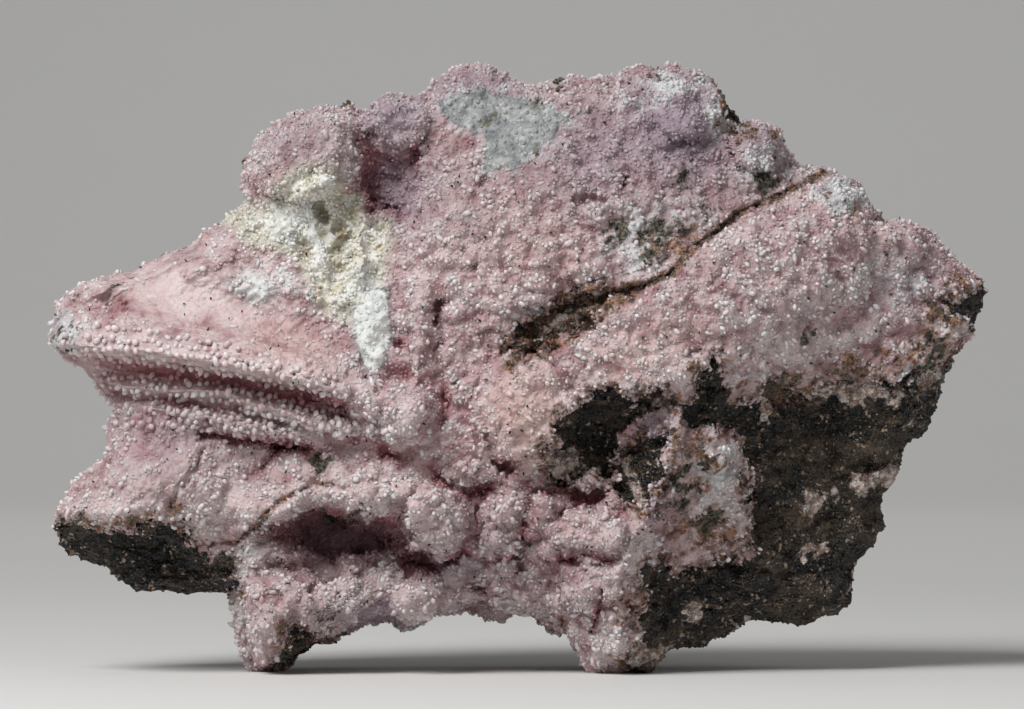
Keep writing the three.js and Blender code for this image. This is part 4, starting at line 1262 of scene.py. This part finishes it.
# painted light and shade: grains are paler on the crests and at their tips, and darker in the
# creases and at their bases; large grains are whiter in their own colour
tone = grains.maths("ADD", grains.mask("crest"), grains.scaled(grains.mask("shade"), 0.25))
tone = grains.maths("ADD", tone, grains.scaled(grains.mask("tip"), 0.2))
grain_colour = grains.graded(tone, 0.45, 1.1, srgb(158, 119, 122), srgb(196, 181, 182))
grain_colour = grains.graded(grains.mask("shade"), 0.9, 1.6, grain_colour, srgb(224, 217, 217),
                             0.65)
druse(grains, grain_colour, srgb(210, 199, 198), srgb(164, 110, 115))

# %% [markdown]
# ### Matrix
# Gossan is a crumbly mix of iron oxides and dark ore. Noise of three sizes lays out its regions,
# patches and fibres, squeezed flat like the layers of the rock. Cells under half a millimetre wide
# add flecks of old gold and give each spot a gloss of its own, so a few of them glint.

# %% The dark matrix
def gossan_colour(finish):
    """Patches of black ore and brown oxide, with gold flecks, rust and remains of pale crust."""
    region = finish.maths("SUBTRACT", finish.noise(8, 5, 0.65, 1.6),
                          finish.scaled(finish.mask("coal"), 0.13))
    patch = finish.noise(2.4, 5, 0.65, 1.8)
    fibre = finish.noise(0.9, 5, 0.7, 2.6)
    colour = finish.graded(region, 0.4, 0.54, srgb(13, 13, 14), srgb(62, 51, 41))
    colour = finish.graded(patch, 0.54, 0.64, colour, srgb(92, 74, 57), 0.8)
    colour = finish.graded(patch, 0.45, 0.36, colour, srgb(15, 15, 17))
    colour = finish.graded(fibre, 0.54, 0.66, colour, srgb(104, 88, 72), 0.6)
    gold = finish.mix(finish.noise(0.8), srgb(190, 180, 162), srgb(132, 92, 64))
    flecks = finish.maths("ADD", finish.scaled(finish.noise(3.2, 4, 0.7), 0.9), finish.cells(0.4))
    colour = finish.graded(flecks, 1.27, 1.35, colour, gold)
    rusty = finish.graded(finish.noise(0.6), 0.4, 0.6, srgb(56, 40, 31), srgb(142, 98, 70))
    rusted = finish.maths("MULTIPLY", finish.blotchy(finish.mask("rust"), 1.6, 0.2, 0.75),
                          finish.ramp(finish.noise(1.4, 5, 0.7), 0.42, 0.56))
    colour = finish.mix(rusted, colour, rusty)
    remains = finish.graded(finish.noise(0.9, 4), 0.4, 0.6, srgb(142, 116, 100),
                            srgb(214, 202, 196))
    islands = finish.blotchy(finish.mask("islands"), 1.1, 0.1, 1)
    return finish.mix(islands, colour, remains)


ORE_BLACK = srgb(16, 16, 17)
gossan = Finish("gossan", Specular_IOR_Level=0.6)
gossan.use("Base Color", gossan_colour(gossan))
gossan.use("Roughness", gossan.ramp(gossan.cells(0.3), 0.1, 0.75, 0.22, 0.8))
gossan.bump(gossan.maths("ADD", gossan.cells(0.42, "Distance"), gossan.noise(0.9, 5)), 0.4)
crumb_finish = Finish("gossan crumbs", Roughness=0.35, Specular_IOR_Level=0.7)
blackened = crumb_finish.ramp(crumb_finish.mask("shade"), 0.1, 1, 0.6, 0)
crumb_finish.use("Base Color", crumb_finish.mix(blackened, gossan_colour(crumb_finish), ORE_BLACK))
speck_finish = Finish("black specks", Roughness=0.3)
speck_finish.use("Base Color", speck_finish.mix(speck_finish.noise(1), srgb(14, 13, 14),
                                                srgb(34, 28, 30)))

# %% [markdown]
# ### Cream, blue-white cap and drip
# These came last. The cream mineral is dull, with a brownish painted shade in its creases, and
# the cap and the drip are frosty and let some light through, with painted shade in their creases
# and painted light on their crests.

# %% The late minerals
cream_finish = Finish("cream smithsonite", Roughness=0.55, Subsurface_Weight=0.5,
                      Subsurface_Scale=0.9 * MM, Subsurface_Radius=(1, 0.9, 0.75))
colour = cream_finish.graded(cream_finish.noise(1.6, 4), 0.35, 0.65, srgb(212, 208, 194),
                             srgb(226, 224, 217))
colour = cream_finish.graded(cream_finish.noise(2.1), 0.5, 0.64, colour, srgb(196, 184, 150), 0.55)
colour = cream_finish.mix(cream_finish.mask("whiteness"), colour, srgb(222, 224, 221))
# painted shade: the cream mineral is brownish and darker in its hollows
painted_crease_shade = cream_finish.scaled(cream_finish.mask("hollow"), 0.75)
colour = cream_finish.mix(painted_crease_shade, colour, srgb(168, 156, 128))
stained = cream_finish.blotchy(cream_finish.mask("rust"), 0.9, 0.3, 0.85)
cream_finish.use("Base Color", cream_finish.mix(stained, colour, srgb(150, 130, 92)))
cream_finish.bump(cream_finish.noise(0.5), 0.3)


def frosted(name, deep, light, roughness):
    """A finish that lets light in, with the deep colour painted in its creases as shade and the
    light colour on its crests as painted light.
    """
    finish = Finish(name, Roughness=roughness, Subsurface_Weight=0.4, Subsurface_Scale=MM,
                    Subsurface_Radius=(1, 0.9, 0.85))
    # painted shade and light: darker in the creases, lighter on the crests
    tone = finish.maths("ADD", finish.scaled(finish.mask("crest"), 0.45), finish.noise(1.8, 4))
    colour = finish.graded(tone, 0.5, 0.95, deep, light)
    return finish.use("Base Color", finish.mix(finish.mask("dark"), colour, srgb(92, 90, 72)))


cap_finish = frosted("blue white druse", srgb(116, 120, 123), srgb(156, 157, 155), 0.3)
cap_finish.bump(cap_finish.noise(0.9, 4), 0.3)
drip_finish = frosted("frosty drip", srgb(206, 210, 208), srgb(228, 230, 226), 0.45)
drip_finish.bump(drip_finish.noise(0.5, 4), 0.4)


# %% Dress and place the pieces
def dress(piece, finish, replaced=None):
    piece.data.materials.clear()
    piece.data.materials.append(finish.material)
    only(piece)
    bpy.ops.object.shade_smooth()
    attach(piece, "root")
    if replaced:
        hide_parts(replaced)


dress(rock, gossan, "matrix_rock")
dress(crust, skin, "smithsonite_crust")
dress(cream, cream_finish, "cream_crust")
dress(cap, cap_finish, "blue_white_cap")
dress(drip, drip_finish, "white_drip")

# %% [markdown]
# ## The grains
# The whole crust is a carpet of crystals shaped like rice grains, each less than a millimetre
# long. One grain is modelled from an ico sphere of twenty faces, and copies of it are
# joined into a few large meshes, because tens of thousands of separate objects would be slow.

# %% Model one grain
GRAIN_SHAPE = (1, 0.86, 1)  # a little flatter one way; each copy gets its own width and length
deselect()
bpy.ops.mesh.primitive_ico_sphere_add(subdivisions=1, radius=MM)
grain = bpy.context.active_object
grain.name = "one_grain"
bpy.ops.object.mode_set(mode="EDIT")
bpy.ops.mesh.select_all(action="SELECT")
bpy.ops.transform.resize(value=GRAIN_SHAPE)
bpy.ops.object.mode_set(mode="OBJECT")
grain_points = points_of(grain)
grain_faces = np.array([polygon.vertices[:] for polygon in grain.data.polygons])
throw_away(grain)
print("one grain:", len(grain_faces), "faces")

# %% [markdown]
# Places for the grains are drawn at random on the rock's triangles, more often on large and on
# wanted ones. A place is dropped when it is too close to one that is already taken.

# %% Draw places on the rock
SEED = 38
rng = np.random.default_rng(SEED)
whole.data.calc_loop_triangles()
corners = np.empty(len(whole.data.loop_triangles) * 3, np.int32)
whole.data.loop_triangles.foreach_get("vertices", corners)
corners = corners.reshape(-1, 3)
rock_places = points_of(whole)
rock_normals = vectors_of(whole, "normal")
sides = rock_places[corners]
areas = np.linalg.norm(np.cross(sides[:, 1] - sides[:, 0], sides[:, 2] - sides[:, 0]), axis=1) / 2
throw_away(whole)


def drawn(wanted, count):
    """Random places on the rock with their normals, where wanted (per rock point) isn't 0."""
    chance = areas * wanted[corners].mean(axis=1)
    chosen = rng.choice(len(corners), count, p=chance / chance.sum())
    first, second = rng.random((2, count))
    flip = first + second > 1
    first, second = np.where(flip, 1 - first, first), np.where(flip, 1 - second, second)
    shares = np.column_stack([1 - first - second, first, second])[:, :, None]
    place = (rock_places[corners[chosen]] * shares).sum(axis=1)
    normal = (rock_normals[corners[chosen]] * shares).sum(axis=1)
    return place, normal / np.linalg.norm(normal, axis=1)[:, None]


def apart(places, spacing):
    """Which places to keep so that none is closer than its spacing to one kept before."""
    spacing = np.broadcast_to(spacing, len(places))
    cell = spacing.max()
    taken, kept = {}, []
    for index, place in enumerate(places):
        key = tuple((place // cell).astype(int))
        near = (other for dx in (-1, 0, 1) for dy in (-1, 0, 1) for dz in (-1, 0, 1)
                for other in taken.get((key[0] + dx, key[1] + dy, key[2] + dz), ()))
        reach = spacing[index] ** 2
        if all(((places[other] - place) ** 2).sum() > reach for other in near):
            taken.setdefault(key, []).append(index)
            kept.append(index)
    return np.array(kept)


# %% Join copies of the grain
def grow(name, places, normals, width, length, lean, finish, sink=0.45, bright=0):
    """One mesh of grains on the given places, each leaning its own way from the normal.

    With a sink of 0.5 a grain's middle lies on the skin, and with more it lies deeper. Bright
    grains are nearly white.
    """
    count = len(places)
    axis = normals + lean * rng.normal(size=(count, 3))
    axis /= np.linalg.norm(axis, axis=1)[:, None]
    side = np.cross(axis, rng.normal(size=(count, 3)))
    side /= np.linalg.norm(side, axis=1)[:, None]
    turned = np.stack([side, np.cross(axis, side), axis], axis=1)
    size = np.column_stack([width, width, length])
    centre = places + normals * (length * (0.5 - sink))[:, None]
    points = centre[:, None] + np.einsum("pk,nk,nkc->npc", grain_points, size, turned)
    points[:, :, 2] = np.maximum(points[:, :, 2], 0)
    faces = grain_faces[None] + len(grain_points) * np.arange(count)[:, None, None]
    mesh = bpy.data.meshes.new(name)
    mesh.from_pydata((points.reshape(-1, 3) * MM).tolist(), [], faces.reshape(-1, 3).tolist())
    piece = bpy.data.objects.new(name, mesh)
    bpy.context.collection.objects.link(piece)
    for tint, values in tints_at(places).items():
        store(piece, tint, np.repeat(values, len(grain_points)))
    store(piece, "shade", np.repeat(rng.random(count) + bright, len(grain_points)))
    store(piece, "tip", np.tile(grain_points[:, 2] / 2 + 0.5, count))
    dress(piece, finish)
    print(name, count, "grains,", len(mesh.polygons), "faces")


# %% [markdown]
# Grains stand close on the pink crust, and thin out on smooth skin, in hollows and on rust. Some of
# those on the crests are larger, brighter crystals. Along the ribs of the wing they sit in rows
# like beads, so those places come from the ribs' own lines.

# %% Beads on the ribs
BEAD_GAP = 0.62
BEAD_SIZE = (0.32, 0.52)
# name of the line, how far above it each row runs, spacing
BEAD_ROWS = [
    ("first rib", (-1.1, -0.4, 0.4, 1.2), 1.05),
    ("second rib", (-1, -0.2, 0.6, 1.3), 1),
    ("third rib", (-0.6, 0.1, 0.8), 1),
    ("faint rib", (0, 1.1), 1.3),
    ("fan handle", (-0.5, 0.4), 1),
    ("low rib", (-1.6, -0.8, 0.4), 1.1),
    ("first groove", (-0.2,), 2.6),
]
front_points = kdtree.KDTree(len(rock_places))
for index, (px, py, pz) in enumerate(rock_places):
    if py < 0:
        front_points.insert((px, 0, pz), index)
front_points.balance()
beads = []
for name, rows, spacing in BEAD_ROWS:
    line = np.array(LINES[name])
    travelled = way_along(line)
    for row in rows:
        stops = np.arange(rng.random() * spacing, travelled[-1], spacing)
        stops = stops + rng.normal(0, 0.25, len(stops))
        px = np.interp(stops, travelled, line[:, 0])
        pz = np.interp(stops, travelled, line[:, 1]) + row + rng.normal(0, 0.18, len(stops))
        beads += [front_points.find((bx, 0, bz))[1] for bx, bz in zip(px, pz)]
beads = np.array(beads)
beads = beads[apart(rock_places[beads], BEAD_GAP)]
width = rng.uniform(*BEAD_SIZE, len(beads))
length = width * rng.uniform(1.1, 1.7, len(beads))
grow("rib_beads", rock_places[beads], rock_normals[beads], width, length, 0.5, grains,
     sink=0.3, bright=0.8)

# %% The carpet of grains
CARPET_DRAWS = 130000
CARPET_GAPS = (0.34, 0.62)
CARPET_WIDTHS = (0.12, 0.18, 0.32)  # the least, the most usual and the greatest
LARGE_SHARE = 0.45
LARGE_GROWTH = 1.4
CARPET_LIMITS = [-70, -28, -6, 14, 70]  # the carpet is divided into meshes here
px, py, pz = rock_places.T
in_cream = edge_distance(px, pz, CREAM_WAVY) < 0
in_cap = edge_distance(px, pz, CAP_WAVY) < 0
in_drip = edge_distance(px, pz, DRIP_WAVY) < 0
covered = crustiness(rock_places) > 0.5
pink = covered & ~((in_cream | in_cap | in_drip) & (py < -2))
places, normals = drawn(pink * 1.0, CARPET_DRAWS)
kept = apart(places, rng.uniform(*CARPET_GAPS, len(places)))
places, normals = places[kept], normals[kept]
local = tints_at(places)
wanted = 1 - 0.96 * np.minimum(1, spread(SMOOTH_SKIN, places[:, 0], places[:, 2]))
wanted *= (1 - 0.15 * local["hollow"]) * (1 - 0.4 * np.maximum(local["rust"], local["dark"]))
wanted *= 0.6 + 0.4 * soft_step(local["crest"], 0.3, 0.7)
kept = rng.random(len(places)) < wanted
places, normals = places[kept], normals[kept]
width = rng.triangular(*CARPET_WIDTHS, len(places))
chance = LARGE_SHARE * soft_step(local["crest"], 0.45, 0.8) * (1 - 0.8 * local["hollow"])
large = rng.random(len(places)) < chance[kept]
width[large] *= LARGE_GROWTH
length = width * rng.uniform(1.1, 2.2, len(places))
for number, (left, right) in enumerate(zip(CARPET_LIMITS, CARPET_LIMITS[1:]), 1):
    part = (places[:, 0] >= left) & (places[:, 0] < right)
    grow("druse_grains_%d" % number, places[part], normals[part], width[part], length[part], 1.2,
         grains, sink=np.where(large[part], 0.42, 0.62), bright=large[part])

# %% Frost on the cap and the drip
FROST_DRAWS = 6000
FROST_GAP = 0.75
frost_wanted = covered * (in_cap | in_drip) * (py < -2) * 1.0
places, normals = drawn(frost_wanted, FROST_DRAWS)
kept = apart(places, FROST_GAP)
places, normals = places[kept], normals[kept]
in_tip = edge_distance(places[:, 0], places[:, 2], DRIP_WAVY) < 0
for name, part, finish, slot in (("cap_frost", ~in_tip, cap_finish, "blue_white"),
                                 ("drip_frost", in_tip, drip_finish, "white")):
    width = rng.uniform(0.2, 0.42, part.sum())
    grow(name, places[part], normals[part], width, width * 1.2, 1, finish, sink=0.8)

# %% Cream knobs
KNOB_DRAWS = 5000
KNOB_GAP = 0.42
places, normals = drawn((covered & in_cream & (py < -2)) * 1.0, KNOB_DRAWS)
kept = apart(places, KNOB_GAP)
places, normals = places[kept], normals[kept]
local = tints_at(places)
kept = rng.random(len(places)) < 0.4 + 0.6 * (local["crest"] > 0.6) - 0.5 * local["whiteness"]
width = rng.uniform(0.16, 0.36, kept.sum())
grow("cream_knobs", places[kept], normals[kept], width, width * 1.4, 0.8, cream_finish,
     sink=0.5)

# %% Crumbs of ore on the matrix, and black specks on the crust
CRUMB_DRAWS = 12000
CRUMB_GAP = 0.52
SPECKS = 420
SPECK_LIFT = 0.1
bare_wanted = np.where(covered, 0, np.where(py < 0, 1, 0.3))
places, normals = drawn(bare_wanted, CRUMB_DRAWS)
kept = apart(places, CRUMB_GAP)
width = rng.triangular(0.1, 0.16, 0.34, len(kept))
grow("gossan_crumbs", places[kept], normals[kept], width, width * 1.2, 0.8, crumb_finish)
places, normals = drawn(pink * (0.25 + spread(SPOTS["salmon"], px, pz)), SPECKS)
places += normals * SPECK_LIFT
width = rng.uniform(0.08, 0.17, len(places))
grow("black_specks", places, normals, width, width + 0.2, 0.3, speck_finish)

# %% [markdown]
# ## Floor, lights and camera
# The specimen stands on a plain pale floor whose far edge bends up into a wall. One soft box up on
# the left gives the light its direction, and a large weak one on the right keeps the shaded side
# readable. A third lamp shines on the wall only, so that it is as pale as the floor. The camera
# uses a long lens, as for all small things, and stands level with the specimen.

# %% Stage
PIXEL = 0.126  # millimetres of the middle plane behind one pixel of the picture
PICTURE_WIDTH = 1024
LENS = 240
SENSOR = 36
AIM = Vector((-0.8, -8, 40.2)) * MM
ELEVATION = 0
distance = LENS / SENSOR * PIXEL * PICTURE_WIDTH * MM

deselect()
bpy.ops.object.camera_add()
camera = bpy.context.active_object
camera.data.lens = LENS
camera.data.sensor_width = SENSOR
camera.data.clip_start = 0.01
camera.location = AIM + distance * Vector((0, -math.cos(ELEVATION), math.sin(ELEVATION)))
camera.rotation_euler = (math.pi / 2 - ELEVATION, 0, 0)
bpy.context.scene.camera = camera

FLOOR_SIZE = 4  # in metres, as are the places of the lamps
WALL_HEIGHT = 1.5
WALL_BEND = 1
WORLD_LIGHT = 0.14
deselect()
bpy.ops.mesh.primitive_plane_add(size=FLOOR_SIZE)
floor = bpy.context.active_object
floor.name = "floor"
bpy.ops.object.mode_set(mode="EDIT")
bpy.ops.mesh.select_mode(type="EDGE")
bpy.ops.mesh.select_all(action="DESELECT")
bpy.ops.object.mode_set(mode="OBJECT")
for side in floor.data.edges:
    side.select = all(floor.data.vertices[v].co.y > 0 for v in side.vertices)
bpy.ops.object.mode_set(mode="EDIT")
bpy.ops.mesh.extrude_region_move(TRANSFORM_OT_translate={"value": (0, 0, WALL_HEIGHT)})
bpy.ops.mesh.select_all(action="DESELECT")
bpy.ops.object.mode_set(mode="OBJECT")
for side in floor.data.edges:
    ends = [floor.data.vertices[v].co for v in side.vertices]
    side.select = all(end.y > 0 and end.z < MM for end in ends)
bpy.ops.object.mode_set(mode="EDIT")
bpy.ops.mesh.bevel(offset=WALL_BEND, segments=24, affect="EDGES")
bpy.ops.object.mode_set(mode="OBJECT")
bpy.ops.object.shade_smooth()
floor_finish = Finish("pale floor", Roughness=0.8)
floor_finish.use("Base Color", floor_finish.mix(floor_finish.noise(300), srgb(214, 213, 211),
                                                srgb(218, 217, 215)))
floor.data.materials.append(floor_finish.material)


def soft_box(name, place, size, power, target=AIM):
    """A square lamp that shines at the specimen, or at another target."""
    bpy.ops.object.light_add(type="AREA", location=Vector(place))
    lamp = bpy.context.active_object
    lamp.name = name
    lamp.data.size = size
    lamp.data.energy = power
    lamp.rotation_euler = (Vector(place) - target).to_track_quat("Z", "Y").to_euler()


soft_box("key", (-0.3, -0.43, 0.54), size=0.36, power=5.8)
soft_box("fill", (0.5, -0.6, 0.3), size=0.5, power=0.6)
soft_box("backdrop", (0, 0.6, 1.1), size=0.8, power=6, target=Vector((0, 2, 0.2)))
world = bpy.data.worlds.new("studio")
bpy.context.scene.world = world
world.use_nodes = True
sky = world.node_tree.nodes["Background"]
sky.inputs["Color"].default_value = (1, 1, 1, 1)
sky.inputs["Strength"].default_value = WORLD_LIGHT
bpy.context.scene.view_settings.view_transform = "Standard"
